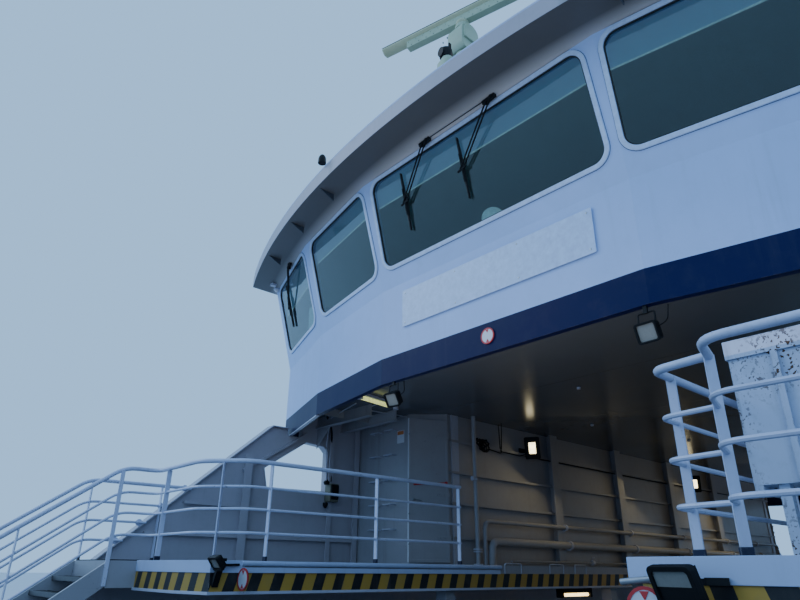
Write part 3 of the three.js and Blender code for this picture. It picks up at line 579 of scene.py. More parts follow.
def paint(name, colour, roughness=0.38, runs=0.3, rust_amount=0.15, wear=0.3, coats=(), swell=0.15,
          gloss=0.4, wear_colour=BARE_STEEL):
    material, tree, shader = new_material(name)
    where = object_place(tree)
    wear_out = use_group(tree, sea_wear, Place=where, Runs=runs, Specks=rust_amount)
    base = rgba(colour)
    for coat in coats:
        base = blend_colour(tree, coat.draw(tree, where), base, rgba(coat.colour))
    shade = calc(tree, "MULTIPLY_ADD", wear_out["Clouds"], 0.22, 0.89)
    tint = place(tree, "ShaderNodeCombineColor", {0: shade, 1: shade, 2: shade}).outputs[0]
    clouded = place(tree, "ShaderNodeMix", {0: 1.0, 6: base, 7: tint}, data_type="RGBA",
                    blend_type="MULTIPLY").outputs[2]
    dirty = blend_colour(tree, wear_out["Dirt"], clouded, rgba(DIRT_COLOUR))
    edges = use_group(tree, rubbed_edges, Place=where, Amount=wear)["Mask"]
    rubbed = blend_colour(tree, edges, dirty, rgba(wear_colour))
    rusty = blend_colour(tree, wear_out["Rust"], rubbed, rgba(RUST_COLOUR))
    tree.links.new(rusty, shader.inputs["Base Color"])
    dull = calc(tree, "MULTIPLY_ADD", wear_out["Dirt"], 0.35, roughness)
    dull = calc(tree, "MULTIPLY_ADD", wear_out["Clouds"], 0.1, calc(tree, "SUBTRACT", dull, 0.05))
    tree.links.new(calc(tree, "MULTIPLY_ADD", wear_out["Rust"], 0.4, dull), shader.inputs["Roughness"])
    bump = place(tree, "ShaderNodeBump", {"Height": wear_out["Height"], "Strength": swell, "Distance": 0.02})
    tree.links.new(bump.outputs[0], shader.inputs["Normal"])
    shader.inputs["Specular IOR Level"].default_value = gloss
    return material


Coat = namedtuple("Coat", "colour draw")


def band_coat(colour, low, high):
    """A level band between two real heights."""
    return Coat(colour, lambda tree, where: use_group(
        tree, height_band, Place=where, Low=low * MODEL_SCALE, High=high * MODEL_SCALE)["Mask"])


def seam_coat(colour, pitch_x, pitch_z, strength=0.5, width=0.006):
    """Weld seams at an even pitch, in real metres."""

    def draw(tree, where):
        seams = use_group(tree, plate_seams, Place=where, Pitch_X=pitch_x * MODEL_SCALE,
                          Pitch_Z=pitch_z * MODEL_SCALE, Width=width * MODEL_SCALE)
        return multiply(tree, seams["Mask"], strength)

    return Coat(colour, draw)


print("paint recipe ready")

# %% [markdown]
# The colours below are the photograph's, in the shade of the house: a bluish white, a deep
# navy band, grey-blue walls and a dull yellow with black. A coat may also check which way a
# face looks, so that floors and undersides have colours of their own.

# %% Ship's paints
NAVY = (0.003, 0.006, 0.055)
HOUSE_WHITE = (0.39, 0.53, 0.83)
WHITE = (0.66, 0.73, 0.86)
SHELL_WHITE = (0.39, 0.385, 0.45)
COAMING_WHITE = (0.43, 0.52, 0.74)
SEAM_WHITE = (0.33, 0.35, 0.44)
GREY_BLUE = (0.32, 0.33, 0.375)
DECK_GREY = (0.09, 0.11, 0.13)
YELLOW = (0.43, 0.27, 0.045)
BLACK = (0.012, 0.013, 0.016)
ANTIFOULING = (0.20, 0.035, 0.025)
BAND_TOP = 8.147


def facing(tree, axis, limit=0.7, check="GREATER_THAN"):
    normal = place(tree, "ShaderNodeNewGeometry").outputs["True Normal"]
    return calc(tree, check, parts_of(tree, normal)[axis], limit)


def facing_down(tree):
    return facing(tree, "Z", -0.7, "LESS_THAN")


def underside_coat(colour):
    return Coat(colour, lambda tree, where: facing_down(tree))


def deck_coat(colour, level):
    """Upward faces at or above a real height."""

    def draw(tree, where):
        level_mask = use_group(tree, height_band, Place=where, Low=(level - 0.02) * MODEL_SCALE,
                               High=(level + 0.6) * MODEL_SCALE)["Mask"]
        return multiply(tree, facing(tree, "Z"), level_mask)

    return Coat(colour, draw)


def lane_coat(colour, half_width, line_y, line_end):
    """Painted lane lines along the car deck, worn thin by tyres."""

    def draw(tree, where):
        part = parts_of(tree, where)
        off_centre = calc(tree, "ABSOLUTE", part["Y"])
        off_line = calc(tree, "ABSOLUTE", calc(tree, "SUBTRACT", off_centre, line_y * MODEL_SCALE))
        line = calc(tree, "LESS_THAN", off_line, half_width * MODEL_SCALE)
        deck_level = calc(tree, "GREATER_THAN", part["Z"], (DECK - 0.02) * MODEL_SCALE)
        inboard = calc(tree, "LESS_THAN", calc(tree, "ABSOLUTE", part["X"]), line_end * MODEL_SCALE)
        worn = ramp(tree, noise(tree, where, 14.0, 5.0, 0.7), 0.36, 0.5)
        return multiply(tree, line, deck_level, inboard, worn, facing(tree, "Z"))

    return Coat(colour, draw)


white_paint = paint("white paint", COAMING_WHITE, 0.36, runs=0.22, rust_amount=0.1,
                    coats=[seam_coat(SEAM_WHITE, 2.4, 1.4, 0.35)])
house_paint = paint("house paint", HOUSE_WHITE, 0.4, runs=0.16, rust_amount=0.06, wear=0.15, gloss=0.15,
                    coats=[band_coat(NAVY, 7.0, BAND_TOP)])
shell_paint = paint("shell paint", SHELL_WHITE, 0.38, runs=0.35, rust_amount=0.25, gloss=0.3,
                    coats=[seam_coat(SEAM_WHITE, 1.5, 1.3, 0.45)])
wall_paint = paint("wall paint", GREY_BLUE, 0.4, runs=0.4, rust_amount=0.35, wear=0.4,
                   coats=[seam_coat((0.27, 0.28, 0.34), 2.7, 1.3, 0.4)])
fitting_paint = paint("fitting paint", (0.45, 0.48, 0.6), 0.38, runs=0.35, rust_amount=0.45, wear=0.5)
rail_paint = paint("rail paint", (0.56, 0.61, 0.8), 0.33, runs=0.3, rust_amount=0.5, wear=0.5)
locker_paint = paint("locker paint", (0.5, 0.57, 0.74), 0.42, runs=0.75, rust_amount=1.0, wear=0.9,
                     wear_colour=RUST_COLOUR)
navy_paint = paint("navy paint", NAVY, 0.32, runs=0.2, rust_amount=0.2, wear=0.3)
foot_paint = paint("foot paint", (0.005, 0.009, 0.04), 0.45, runs=0.3, rust_amount=0.5, wear=0.6)
hull_paint = paint("hull paint", NAVY, 0.34, runs=0.35, rust_amount=0.4, coats=[
    seam_coat((0.008, 0.018, 0.1), 3.0, 1.1, 0.6, 0.01),
    band_coat(WHITE, WATERLINE + 0.03, WATERLINE + 0.16),
    band_coat(ANTIFOULING, -1.0, WATERLINE + 0.03),
    deck_coat(DECK_GREY, DECK),
    lane_coat((0.5, 0.5, 0.46), 0.06, 2.45, 22.4),
])
platform_paint = paint("platform paint", GREY_BLUE, 0.42, runs=0.3, rust_amount=0.3, wear=0.4,
                       coats=[deck_coat((0.2, 0.24, 0.29), PLATFORM)])
print("paints:", len(bpy.data.materials))

# %% [markdown]
# Glass is clear, faintly green and smooth, with a plain Transmission, so that the dark room
# shows through it. Rubber, bare metal and plastics are short recipes: one colour with a
# little noise in it and in the roughness. Lamps are a lens that gives off light.

# %% Glass, rubber, metal and lamps
def plain(name, colour, roughness, metallic=0.0, grain=30.0, change=0.25, bump_strength=0.1):
    material, tree, shader = new_material(name)
    fog = noise(tree, object_place(tree), grain, 4.0)
    light = tuple(min(1.0, c * (1 + change)) for c in colour)
    dark = tuple(c * (1 - change) for c in colour)
    tree.links.new(blend_colour(tree, fog, rgba(dark), rgba(light)), shader.inputs["Base Color"])
    tree.links.new(calc(tree, "MULTIPLY_ADD", fog, 0.16, roughness - 0.08), shader.inputs["Roughness"])
    bump = place(tree, "ShaderNodeBump", {"Height": fog, "Strength": bump_strength, "Distance": 0.004})
    tree.links.new(bump.outputs[0], shader.inputs["Normal"])
    shader.inputs["Metallic"].default_value = metallic
    return material


def tinted_glass(name, colour, salt_amount):
    """Clear tinted glass with a thin bloom of dried spray in patches."""
    material, tree, shader = new_material(name)
    spray = noise(tree, object_place(tree), 6.0, 5.0, 0.7)
    salt = multiply(tree, ramp(tree, spray, 0.45, 0.8), salt_amount)
    bloom = blend_colour(tree, salt, rgba(colour), rgba((0.6, 0.68, 0.66)))
    tree.links.new(bloom, shader.inputs["Base Color"])
    tree.links.new(calc(tree, "MULTIPLY_ADD", salt, 0.3, 0.02), shader.inputs["Roughness"])
    shader.inputs["Transmission Weight"].default_value = 1.0
    shader.inputs["IOR"].default_value = 1.5
    return material


def glowing(name, colour, strength):
    """A glowing face, a lamp's or a painted glow: small cells of light, brighter in their middles."""
    material, tree, shader = new_material(name)
    cells = place(tree, "ShaderNodeTexVoronoi", {"Vector": object_place(tree), "Scale": 60.0})
    bright = ramp(tree, cells.outputs["Distance"], 0.75, 0.1)
    dim = tuple(c * 0.55 for c in colour)
    tree.links.new(blend_colour(tree, bright, rgba(dim), rgba(colour)), shader.inputs["Emission Color"])
    shader.inputs["Base Color"].default_value = rgba(colour)
    shader.inputs["Emission Strength"].default_value = strength
    return material


print("recipes for glass, plain finishes and lamps are ready")

# %% Finishes of the fittings
window_glass = tinted_glass("window glass", (0.30, 0.47, 0.47), 0.05)
lamp_glass = tinted_glass("lamp glass", (0.8, 0.86, 0.9), 0.15)
screen_film = plain("screen film", (0.35, 0.62, 0.85), 0.35, grain=3.0, change=0.15)
# The film glows faintly, a painted light for the light that comes through it from behind.
film_glow = screen_film.node_tree.nodes["Principled BSDF"].inputs
film_glow["Emission Color"].default_value = (0.34, 0.42, 0.75, 1.0)
film_glow["Emission Strength"].default_value = 0.24
rubber = plain("black rubber", (0.012, 0.013, 0.015), 0.55)
black_metal = plain("black metal", (0.006, 0.007, 0.009), 0.5, grain=60.0)
black_metal.node_tree.nodes["Principled BSDF"].inputs["Specular IOR Level"].default_value = 0.2
dark_steel = plain("dark steel", (0.05, 0.055, 0.065), 0.42, 0.6, 45.0)
stainless = plain("stainless steel", (0.45, 0.47, 0.5), 0.28, 0.9, 70.0, 0.12)
galvanised = plain("galvanised steel", (0.30, 0.33, 0.37), 0.5, 0.5, 40.0, 0.3)
bronze = plain("bronze", (0.42, 0.25, 0.1), 0.4, 0.85, 18.0, 0.35)
# The pale bars under the screens and the domes behind the middle windows glow faintly, a painted light.
painted_glow = glowing("screen bar glow", (0.55, 0.75, 0.9), 0.5)
frame_shadow_line = plain("window frame shadow", (0.09, 0.12, 0.22), 0.5)
frame_paint = plain("window frame", (0.47, 0.6, 0.86), 0.35)
board_white = plain("board white", (0.43, 0.57, 0.86), 0.35)
red_paint = plain("red paint", (0.5, 0.03, 0.035), 0.4)
sign_white = plain("sign white", (0.62, 0.66, 0.74), 0.35, change=0.08)
scanner_paint = plain("scanner paint", (0.38, 0.47, 0.34), 0.42, grain=12.0, change=0.15)
scanner_face = plain("scanner face", (0.5, 0.54, 0.36), 0.35, grain=9.0, change=0.1)
raft_plastic = plain("raft canister plastic", (0.66, 0.68, 0.7), 0.32, grain=8.0, change=0.08)
warm_light = glowing("warm light", (1.0, 0.72, 0.32), 6.0)
print("materials:", len(bpy.data.materials))

# %% [markdown]
# The ceiling over the car deck is a glossy panel painted dark, a painted shade for the
# gloom under the bridge, so lamps show in it as long warm smears. Its paint has no swell,
# because a real sheet of panel is flat. The platform edges are striped all round, and the
# stripe is laid by the same recipe as a coat.

# %% Ceiling panel and striped edge
STRIPE_PITCH = 0.3
ceiling_shade_paint = paint("ceiling shade paint", (0.11, 0.125, 0.15), 0.22, runs=0.1, rust_amount=0.0, wear=0.0,
                      coats=[seam_coat((0.03, 0.03, 0.035), 2.7, 5.0, 0.8, 0.01)], swell=0.0)
black_bars = Coat(BLACK, lambda tree, where: use_group(
    tree, hazard_stripes, Place=where, Pitch=STRIPE_PITCH * MODEL_SCALE, Lean=0.32)["Mask"])
hazard_paint = paint("stripe paint", YELLOW, 0.45, runs=0.5, rust_amount=0.3, wear=0.7, coats=[black_bars])
print("stripe pitch in the model:", STRIPE_PITCH * MODEL_SCALE)

# %% [markdown]
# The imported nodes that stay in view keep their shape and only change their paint. The doors
# and stairs have one node in each quarter, so their names are put together by a loop.

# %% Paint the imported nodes
def repaint(material, *names):
    for name in names:
        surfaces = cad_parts[name].data.materials
        surfaces.clear()
        surfaces.append(material)
    print(material.name, "on", len(names), "nodes")


QUARTER_NAMES = {(end, side): f"{end_name}_{side_name}"
                 for end_name, end in ENDS.items() for side_name, side in SIDES.items()}
repaint(hull_paint, "hull")
repaint(shell_paint, "side_wall_port", "side_wall_starboard")
repaint(house_paint, "house_front_fore", "house_front_aft", "house_side_port", "house_side_starboard")
repaint(white_paint, "ramp_fore", "ramp_aft")
repaint(platform_paint, "platform_port", "platform_starboard")
repaint(wall_paint, "casing_port", "casing_starboard",
        *[f"{part}_{name}" for part in ("casing_door", "stair") for name in QUARTER_NAMES.values()])
repaint(ceiling_shade_paint, "bridge_deck")
repaint(locker_paint, "locker_aft_starboard", "locker_fore_port")
repaint(navy_paint, "funnel_port", "funnel_starboard")
repaint(dark_steel, "helm_console_fore", "helm_console_aft")

# %% [markdown]
# The bridge front is five flat facets that fold at its corners and lean out above a knuckle.
# Each facet becomes a Plane, so a window or a wiper is drawn flat and lands on the glass.

# %% Facets of the bridge front
FACETS = [(1.965, 0), (2.184, 10.7), (2.27, 19.0)]
LEAN_OUT, LEAN_HEIGHT = 0.4187, SOFFIT - KNUCKLE
SIDE_LEAN = 0.14


def facet_planes():
    corner = Vector((FRONT_X, 0, KNUCKLE))
    planes = []
    for length, turned_by in FACETS:
        angle = radians(turned_by)
        along = Vector((-sin(angle), cos(angle), 0))
        rise = along.cross(UP) * LEAN_OUT + Vector((0, 0, LEAN_HEIGHT))
        start = corner if planes else corner - along * length
        planes.append(Plane(start, along, rise))
        corner = corner + along * length
    return planes, corner


FRONT_PLANES, HOUSE_CORNER = facet_planes()
SIDE_PLANE = Plane(HOUSE_CORNER, (-1, 0, 0), (0, SIDE_LEAN, LEAN_HEIGHT))
HOUSE_LENGTH = HOUSE_CORNER.x * 2
print("house corner at", [round(c, 3) for c in HOUSE_CORNER])

# %% [markdown]
# A bridge window is a rounded pane in a thin black seal, nearly flush with the wall. A white
# frame stands a little proud round it, and a thin dark line round the frame is a painted
# shadow. The upper part is covered by a screen of tinted film that glows faintly, a painted
# light, with a pale bar along its bottom edge that glows as a painted highlight. A frame is a
# collar between two rounded outlines, so one outline function draws every part.

# %% A bridge window
SLANT = cos(atan2(LEAN_OUT, LEAN_HEIGHT))
SILL, HEAD = (9.482 - KNUCKLE) / SLANT, (10.782 - KNUCKLE) / SLANT
CORNER, FRAME_WIDTH, SCREEN_DROP = 0.16, 0.06, 0.37
WINDOW_FINISH = {"frames": (frame_paint, 0.008), "shadow_lines": (frame_shadow_line,), "seals": (rubber, 0.004),
                 "panes": (window_glass,), "screens": (screen_film,), "bars": (painted_glow,)}


def add_window(kit, plane, start, end, lower=0, with_screen=True):
    def outline(grow):
        return rounded_rectangle(start - grow, end + grow, SILL - grow, HEAD + grow, CORNER + grow, 8)

    collar(kit["frames"], plane, outline(FRAME_WIDTH), outline(0.002), -0.01, 0.022)
    # A thin dark line round the frame, a painted shadow.
    collar(kit["shadow_lines"], plane, outline(FRAME_WIDTH + 0.006), outline(FRAME_WIDTH - 0.002), -0.004, 0.003)
    collar(kit["seals"], plane, outline(0.004), outline(-0.012), -0.03, 0.006)
    slab(kit["panes"], plane, outline(-0.01), -0.018, -0.006)
    if with_screen:
        left, right, low = start - 0.02, end + 0.02, HEAD - SCREEN_DROP - lower
        slab(kit["screens"], plane, rectangle(left, right, low, HEAD + 0.05), -0.09, -0.084)
        tube(kit["bars"], [plane.at(left, low, -0.088), plane.at(right, low, -0.088)], 0.011)


print("window height", round(HEAD - SILL, 3), "m along the slope")

# %% Windows of the bridge and the saloon
FRONT_WINDOWS = [(0.156, 3.774), (0.05, 1.984), (0.135, 2.03)]
SALOON_COUNT, SALOON_WINDOW = 8, 1.7
middle_windows, wing_windows, saloon_windows = [new_kit(WINDOW_FINISH) for _ in range(3)]
add_window(middle_windows, FRONT_PLANES[0], *FRONT_WINDOWS[0])
add_window(wing_windows, FRONT_PLANES[1], *FRONT_WINDOWS[1])
add_window(wing_windows, FRONT_PLANES[2], *FRONT_WINDOWS[2], lower=0.18)
for i in range(SALOON_COUNT):
    middle = (i + 0.5) * HOUSE_LENGTH / SALOON_COUNT
    add_window(saloon_windows, SIDE_PLANE, *around(middle, SALOON_WINDOW / 2), with_screen=False)
for name, end in ENDS.items():
    make_kit("window", [(middle_windows, [(end, 1)]), (wing_windows, both_sides(end))], WINDOW_FINISH,
             f"_front_{name}", stands_for={"panes": f"glazing_front_{name}"})
for name, side in SIDES.items():
    make_kit("window", [(saloon_windows, [(1, side)])], WINDOW_FINISH, f"_side_{name}",
             stands_for={"panes": f"glazing_side_{name}"})
print("window pieces:", len(made_pieces))

# %% [markdown]
# Ships use pantograph wipers: two parallel arms swing a blade that always stands upright.
# The arms hang from small pivot boxes under the visor. The blade is a thin taper either
# side of its middle. The middle window has two, joined by a rod, and each outer window one.

# %% Wipers
BLADE_TOP, BLADE_MIDDLE, BLADE_BOTTOM, PIVOT = 1.53, 1.09, 0.66, 1.72


def wiper(metal, blades, plane, pivot_u, blade_u):
    def link(start, end, width, depth):
        bar(metal, plane.at(*start), plane.at(*end), width, depth, plane.w)

    for shift, drop in ((-0.045, 0), (0.05, 0.03)):
        start = plane.at(pivot_u + shift, PIVOT - drop, 0.05)
        elbow = plane.at(pivot_u + shift, PIVOT - 0.02 - drop, 0.115)
        end = plane.at(blade_u + shift, BLADE_MIDDLE - drop, 0.055)
        tube(metal, [start, elbow, end], 0.011, 0.02, 8)
        turned(metal, [(0.028, 0), (0.03, 0.05), (0.02, 0.07)], start, plane.w, 14)
    link((pivot_u - 0.1, PIVOT, 0.08), (pivot_u + 0.1, PIVOT - 0.015, 0.08), 0.05, 0.05)
    link((pivot_u, PIVOT - 0.005, 0.085), (pivot_u + 0.12, PIVOT + 0.03, 0.06), 0.03, 0.03)
    link((blade_u - 0.07, BLADE_MIDDLE, 0.05), (blade_u + 0.08, BLADE_MIDDLE - 0.03, 0.05), 0.025, 0.02)
    link((blade_u, BLADE_MIDDLE + 0.2, 0.05), (blade_u, BLADE_MIDDLE - 0.2, 0.05), 0.02, 0.016)
    taper = ((BLADE_TOP, 0.006), ((BLADE_TOP + BLADE_BOTTOM) / 2, 0.016), (BLADE_BOTTOM, 0.004))
    blades.loft([[plane.at(blade_u + a, v, w) for a, w in rectangle(-half, half, 0.004, 0.045)]
                 for v, half in taper])


metal, blades, outer_metal, outer_blades = new_drawings(4)
wiper(metal, blades, FRONT_PLANES[0], 1.37, 2.02)
wiper(metal, blades, FRONT_PLANES[0], 2.52, 3.12)
wiper(outer_metal, outer_blades, FRONT_PLANES[2], 0.84, 1.42)
tube(metal, [FRONT_PLANES[0].at(u, PIVOT, 0.095) for u in (1.38, 2.5)], 0.007, sides=6)
for name, end in ENDS.items():
    arms = [metal.placed(end), *everywhere(outer_metal, both_sides(end))]
    rubbers = [blades.placed(end), *everywhere(outer_blades, both_sides(end))]
    make(f"wiper_arms_{name}", arms, black_metal, 0.002)
    make(f"wiper_blades_{name}", rubbers, rubber)
print("wipers at each end: 4")

# %% [markdown]
# A pale round lamp cover stands behind each middle window, and only its top shows over the
# sill. It is a turned shape with a domed end, and its faint glow is a painted light.

# %% Domes behind the middle windows
inner_domes = Drawing()
rounded_top = [(radius, height + 0.3) for radius, height in dome(0.15, 0.14)]
turned(inner_domes, [(0.15, 0), (0.15, 0.3), *rounded_top], (10.8, 0, 9.36), sides=28)
make("chart_lamp_domes", everywhere(inner_domes, [(1, 1), (-1, 1)]), painted_glow)
print("domes:", len(ENDS))

# %% [markdown]
# The name board under the middle window is a bare white plate on short spacers, held by
# eight small screws. A round height sign hangs on the navy band below it: a red rim and two
# small red triangles that point at each other, with no figures on it.

# %% Name board and round signs
BOARD = (-1.51, 1.51, 8.50, 9.04)
FRONT_WALL = cross_plane(FRONT_X)


def round_sign(white, red, plane, u, v, radius=0.1):
    slab(white, plane, circle(u, v, radius * 0.97), 0.008, 0.014)
    collar(red, plane, circle(u, v, radius), circle(u, v, radius * 0.84), 0.006, 0.017)
    for flip in (1, -1):
        tip, wide = v + flip * radius * 0.38, v + flip * radius * 0.78
        slab(red, plane, [(u, tip), (u - radius * 0.24, wide), (u + radius * 0.24, wide)], 0.013, 0.017)


board, spacers, screws, sign, sign_red = new_drawings(5)
u0, u1, v0, v1 = BOARD
slab(board, FRONT_WALL, rounded_rectangle(*BOARD, 0.015, 3), 0.016, 0.028)
for u in (u0 + 0.06, u0 / 3, u1 / 3, u1 - 0.06):
    for v in (v0 + 0.05, v1 - 0.05):
        screw_head = [(0.012, 0), (0.012, 0.002), (0.0072, 0.004)]
        turned(screws, screw_head, FRONT_WALL.at(u, v, 0.028), FRONT_WALL.w, 10)
        turned(spacers, [(0.02, 0), (0.02, 0.017)], FRONT_WALL.at(u, v), FRONT_WALL.w, 12)
round_sign(sign, sign_red, FRONT_WALL, 0.02, 7.98)
for name, end in ENDS.items():
    make_all([(end, 1)],
             ("name_board", board, board_white, 0.003),
             ("name_board_spacers", spacers, rubber),
             ("name_board_screws", screws, stainless),
             ("height_sign", sign, sign_white),
             ("height_sign_red", sign_red, red_paint), tail=f"_{name}")
print("board", round(u1 - u0, 2), "by", round(v1 - v0, 2), "m, bare")

# %% [markdown]
# Platform edges are built up from strips: a striped band, a white coaming above it and a
# flange below. A strip follows a plan path, offset to its right, with mitred corners. Along
# the tunnel the coaming opens into a plate with a round rail above it.

# %% Strips along a path
PLATFORM_END_X, PLATFORM_CORNER_X, PLATFORM_SHOULDER_Y = 13.04, 12.92, 3.16
STAIR_TOP_X, STAIR_INNER_Y, STAIR_SLOPE = 13.41, 4.35, 0.728
AFT_EDGE = [(-STAIR_TOP_X, STAIR_INNER_Y), (-PLATFORM_END_X, STAIR_INNER_Y),
            (-PLATFORM_END_X, PLATFORM_SHOULDER_Y), (-PLATFORM_CORNER_X, PLATFORM_EDGE_Y)]
EDGE_PATH = AFT_EDGE + [(-x, y) for x, y in reversed(AFT_EDGE)]


def offset_path(path, shift):
    points = [Vector(p) for p in path]
    normals = []
    for a, b in zip(points, points[1:]):
        along = (b - a).normalized()
        normals.append(Vector((along.y, -along.x)))
    moved = []
    for i, point in enumerate(points):
        before, after = normals[max(i - 1, 0)], normals[min(i, len(normals) - 1)]
        moved.append(point + (before + after) / (1 + before.dot(after)) * shift)
    return moved


def strip(drawing, path, out, z):
    """A band beside a plan path, out[0] to out[1] to its right and z[0] to z[1] high."""
    near, far = offset_path(path, out[0]), offset_path(path, out[1])
    rings = [[(a.x, a.y, z[0]), (b.x, b.y, z[0]), (b.x, b.y, z[1]), (a.x, a.y, z[1])]
             for a, b in zip(near, far)]
    return drawing.loft(rings)


print("edge strips follow", len(EDGE_PATH), "corners")

# %% Platform edges
COAMING_LOW, STEP_X = PLATFORM - 0.125, -12.54
RAIL_LINE_Y = 2.494
striped, flange, coaming, hoops = new_drawings(4)
strip(striped, EDGE_PATH[1:-1], (0, 0.012), (PLATFORM_UNDER, PLATFORM - 0.12))
strip(flange, EDGE_PATH[1:-1], (-0.03, 0.035), (PLATFORM_UNDER - 0.028, PLATFORM_UNDER + 0.004))
bend = [*AFT_EDGE[1:], (STEP_X + 0.02, PLATFORM_EDGE_Y)]
tunnel = [(STEP_X, PLATFORM_EDGE_Y), (-8.02, PLATFORM_EDGE_Y)]
strip(coaming, bend, (0, 0.024), (COAMING_LOW, PLATFORM + 0.004))
strip(coaming, tunnel, (0, 0.034), (COAMING_LOW, PLATFORM - 0.066))
tube(coaming, [(x, RAIL_LINE_Y, PLATFORM - 0.026) for x in (STEP_X - 0.02, -8.0)], 0.029)
for start, length in ((-7.9, 0.42), (-6.7, 0.4), (-5.95, 0.35)):
    outline = [(0, 2.5, -0.12), (0, 2.49, 0.03), (length, 2.49, 0.03), (length, 2.5, -0.12)]
    tube(hoops, [(start + x, y, PLATFORM + z) for x, y, z in outline], 0.009, 0.03, 8)
make_all(PORT_AND_STARBOARD,
         ("platform_stripes", striped, hazard_paint, 0, "grey_blue_paint"),
         ("platform_flanges", flange, fitting_paint, 0.004))
make_all(QUARTERS,
         ("platform_coamings", coaming, white_paint, 0.004),
         ("platform_hoops", hoops, fitting_paint))
print("platform edge from", -PLATFORM_END_X, "to", PLATFORM_END_X, "m")

# %% [markdown]
# Railings have a thick round top rail and three thinner ones through flat-bar posts. Every
# post ends in a navy foot, as on the deck of the real ship. Beside a locker the corner is
# made in two parts: the edge rails turn back at the corner post, and new rails start from
# it towards the stairs. The open corners have one rail round the bend.

# %% Rail rows and posts
RAIL_HEIGHTS = (1.12, 0.815, 0.555, 0.285)
TOP_RADIUS, ROW_RADIUS, SHELL_ROW_RADIUS = 0.028, 0.0168, 0.0185
RAIL_Y, RAIL_START_X, END_RAIL_X, STAIR_RAIL_Y, RAIL_FOOT_X = 2.64, 8.74, 12.94, 4.38, 16.73
STAIR_POSTS = (14.5, 15.6, 16.7)
OPEN_QUARTERS, LOCKER_QUARTERS = PORT_AFT_AND_TURNED, STARBOARD_AFT_AND_TURNED


def fall(x):
    return max(0, x - STAIR_TOP_X) * STAIR_SLOPE


def rail_rows(drawing, path, lift=0, bend=0.16):
    for row, height in enumerate(RAIL_HEIGHTS):
        corners = [(x, y, PLATFORM + height - fall(x) + lift) for x, y in path]
        radius, sides = (ROW_RADIUS, 8) if row else (TOP_RADIUS, 12)
        tube(drawing, corners, radius, bend, sides)


def flat_post(drawing, feet, x, y, along=(1, 0)):
    """A post in the line of its rail, and the navy foot round its lower end."""
    along = Vector((*along, 0)).normalized()
    across = along.cross(UP)
    low = PLATFORM - fall(x)
    stock = ((drawing, 0.062, 0.014, RAIL_HEIGHTS[0]), (feet, 0.074, 0.026, 0.055))
    for target, width, depth, height in stock:
        ring = [across * a + along * b for a, b in rectangle(*around(0, width / 2), *around(0, depth / 2))]
        target.loft([[Vector((x, y, z)) + p for p in ring] for z in (low, low + height)])


print("rails at", RAIL_HEIGHTS, "m")

# %% Railings
def edge_rails(with_locker):
    rails, feet = new_drawings(2)
    tail = [(x, STAIR_RAIL_Y) for x in (END_RAIL_X, STAIR_TOP_X, RAIL_FOOT_X)]
    if with_locker:
        before, corner, end_post = (12.34, RAIL_Y), (12.63, 3.02), 3.7
        rail_rows(rails, [(RAIL_START_X, RAIL_Y), (12.57, RAIL_Y), corner], lift=-0.005, bend=0.09)
        rail_rows(rails, [corner, (12.95, 3.1), *tail], lift=-0.005, bend=0.2)
    else:
        before, corner, end_post = (12.19, RAIL_Y), (12.73, 2.88), 4.02
        rail_rows(rails, [(RAIL_START_X, RAIL_Y), (12.49, RAIL_Y), (END_RAIL_X, 3.12), *tail], lift=0.025)
    for x, y in [(8.79, RAIL_Y), (10.47, RAIL_Y), before, *[(x, STAIR_RAIL_Y) for x in STAIR_POSTS]]:
        flat_post(rails, feet, x, y)
    flat_post(rails, feet, *corner, (1, 1))
    flat_post(rails, feet, END_RAIL_X, end_post, (0, 1))
    end_plate = rectangle(STAIR_TOP_X, STAIR_TOP_X + 0.05, PLATFORM - 0.3, PLATFORM + 1.1)
    slab(rails, long_plane(STAIR_RAIL_Y - 0.04), end_plate, -0.01, 0.006)
    return rails, feet


def shell_rails():
    """The rails along the shell start at round plates on its slanted edge."""
    rails, feet = new_drawings(2)
    y = SHELL_INNER_Y - 0.06
    for row, height in enumerate(RAIL_HEIGHTS):
        start, z = 10.38 + (7.88 - PLATFORM - height) / 0.862, PLATFORM + height
        corners = [(start, y, z), (STAIR_TOP_X, y, z), (RAIL_FOOT_X, y, z - fall(RAIL_FOOT_X))]
        tube(rails, corners, SHELL_ROW_RADIUS if row else TOP_RADIUS, 0.16, 10)
        turned(rails, [(0.05, 0), (0.05, 0.012)], (start + 0.1, y + 0.025, z), (0, 1, 0), 16)
    for x in (12.3, STAIR_TOP_X - 0.05, *STAIR_POSTS):
        flat_post(rails, feet, x, y)
    return rails, feet


for place_in, name in QUARTER_NAMES.items():
    edge, edge_feet = edge_rails(place_in in LOCKER_QUARTERS)
    shell, shell_feet = shell_rails()
    feet = everywhere(edge_feet, [place_in]) + everywhere(shell_feet, [place_in])
    make(f"edge_rails_{name}", everywhere(edge, [place_in]), rail_paint, replaces=(f"platform_rail_{name}",))
    make(f"shell_rails_{name}", everywhere(shell, [place_in]), rail_paint, replaces=(f"stair_rail_{name}",))
    make(f"rail_feet_{name}", feet, foot_paint, 0.003)
print("railings in", len(QUARTERS), "quarters")

# %% [markdown]
# The roof is wide and thin, with a visor that sweeps round each front in one arc. Its edge
# is a deep white fascia with a round bead along the top, and small gusset plates stiffen the
# underside; they are painted near black, a painted shade. The imported roof has fourteen
# flats in each arc. This one has ninety. The underside is painted light beside the wall and
# dark towards the rim: painted light and painted shade under the visor.

# %% Roof and visor
VISOR_RADIUS, VISOR_TIP_X, ROOF_HALF_WIDTH = 16.3, 12.13, 6.5
ARC_CENTRE_X = VISOR_TIP_X - VISOR_RADIUS
GUSSET_YS, GUSSET_LENGTH, GUSSET_DEPTH = (2.49, 3.67, 5.0), 0.32, 0.12


def roof_outline(inset, steps=90):
    radius, half_width = VISOR_RADIUS - inset, ROOF_HALF_WIDTH - inset
    half = asin(half_width / radius)
    angles = [half * (2 * i / steps - 1) for i in range(steps + 1)]
    arc = [(ARC_CENTRE_X + radius * cos(a), radius * sin(a)) for a in angles]
    return arc + [(-x, -y) for x, y in arc]


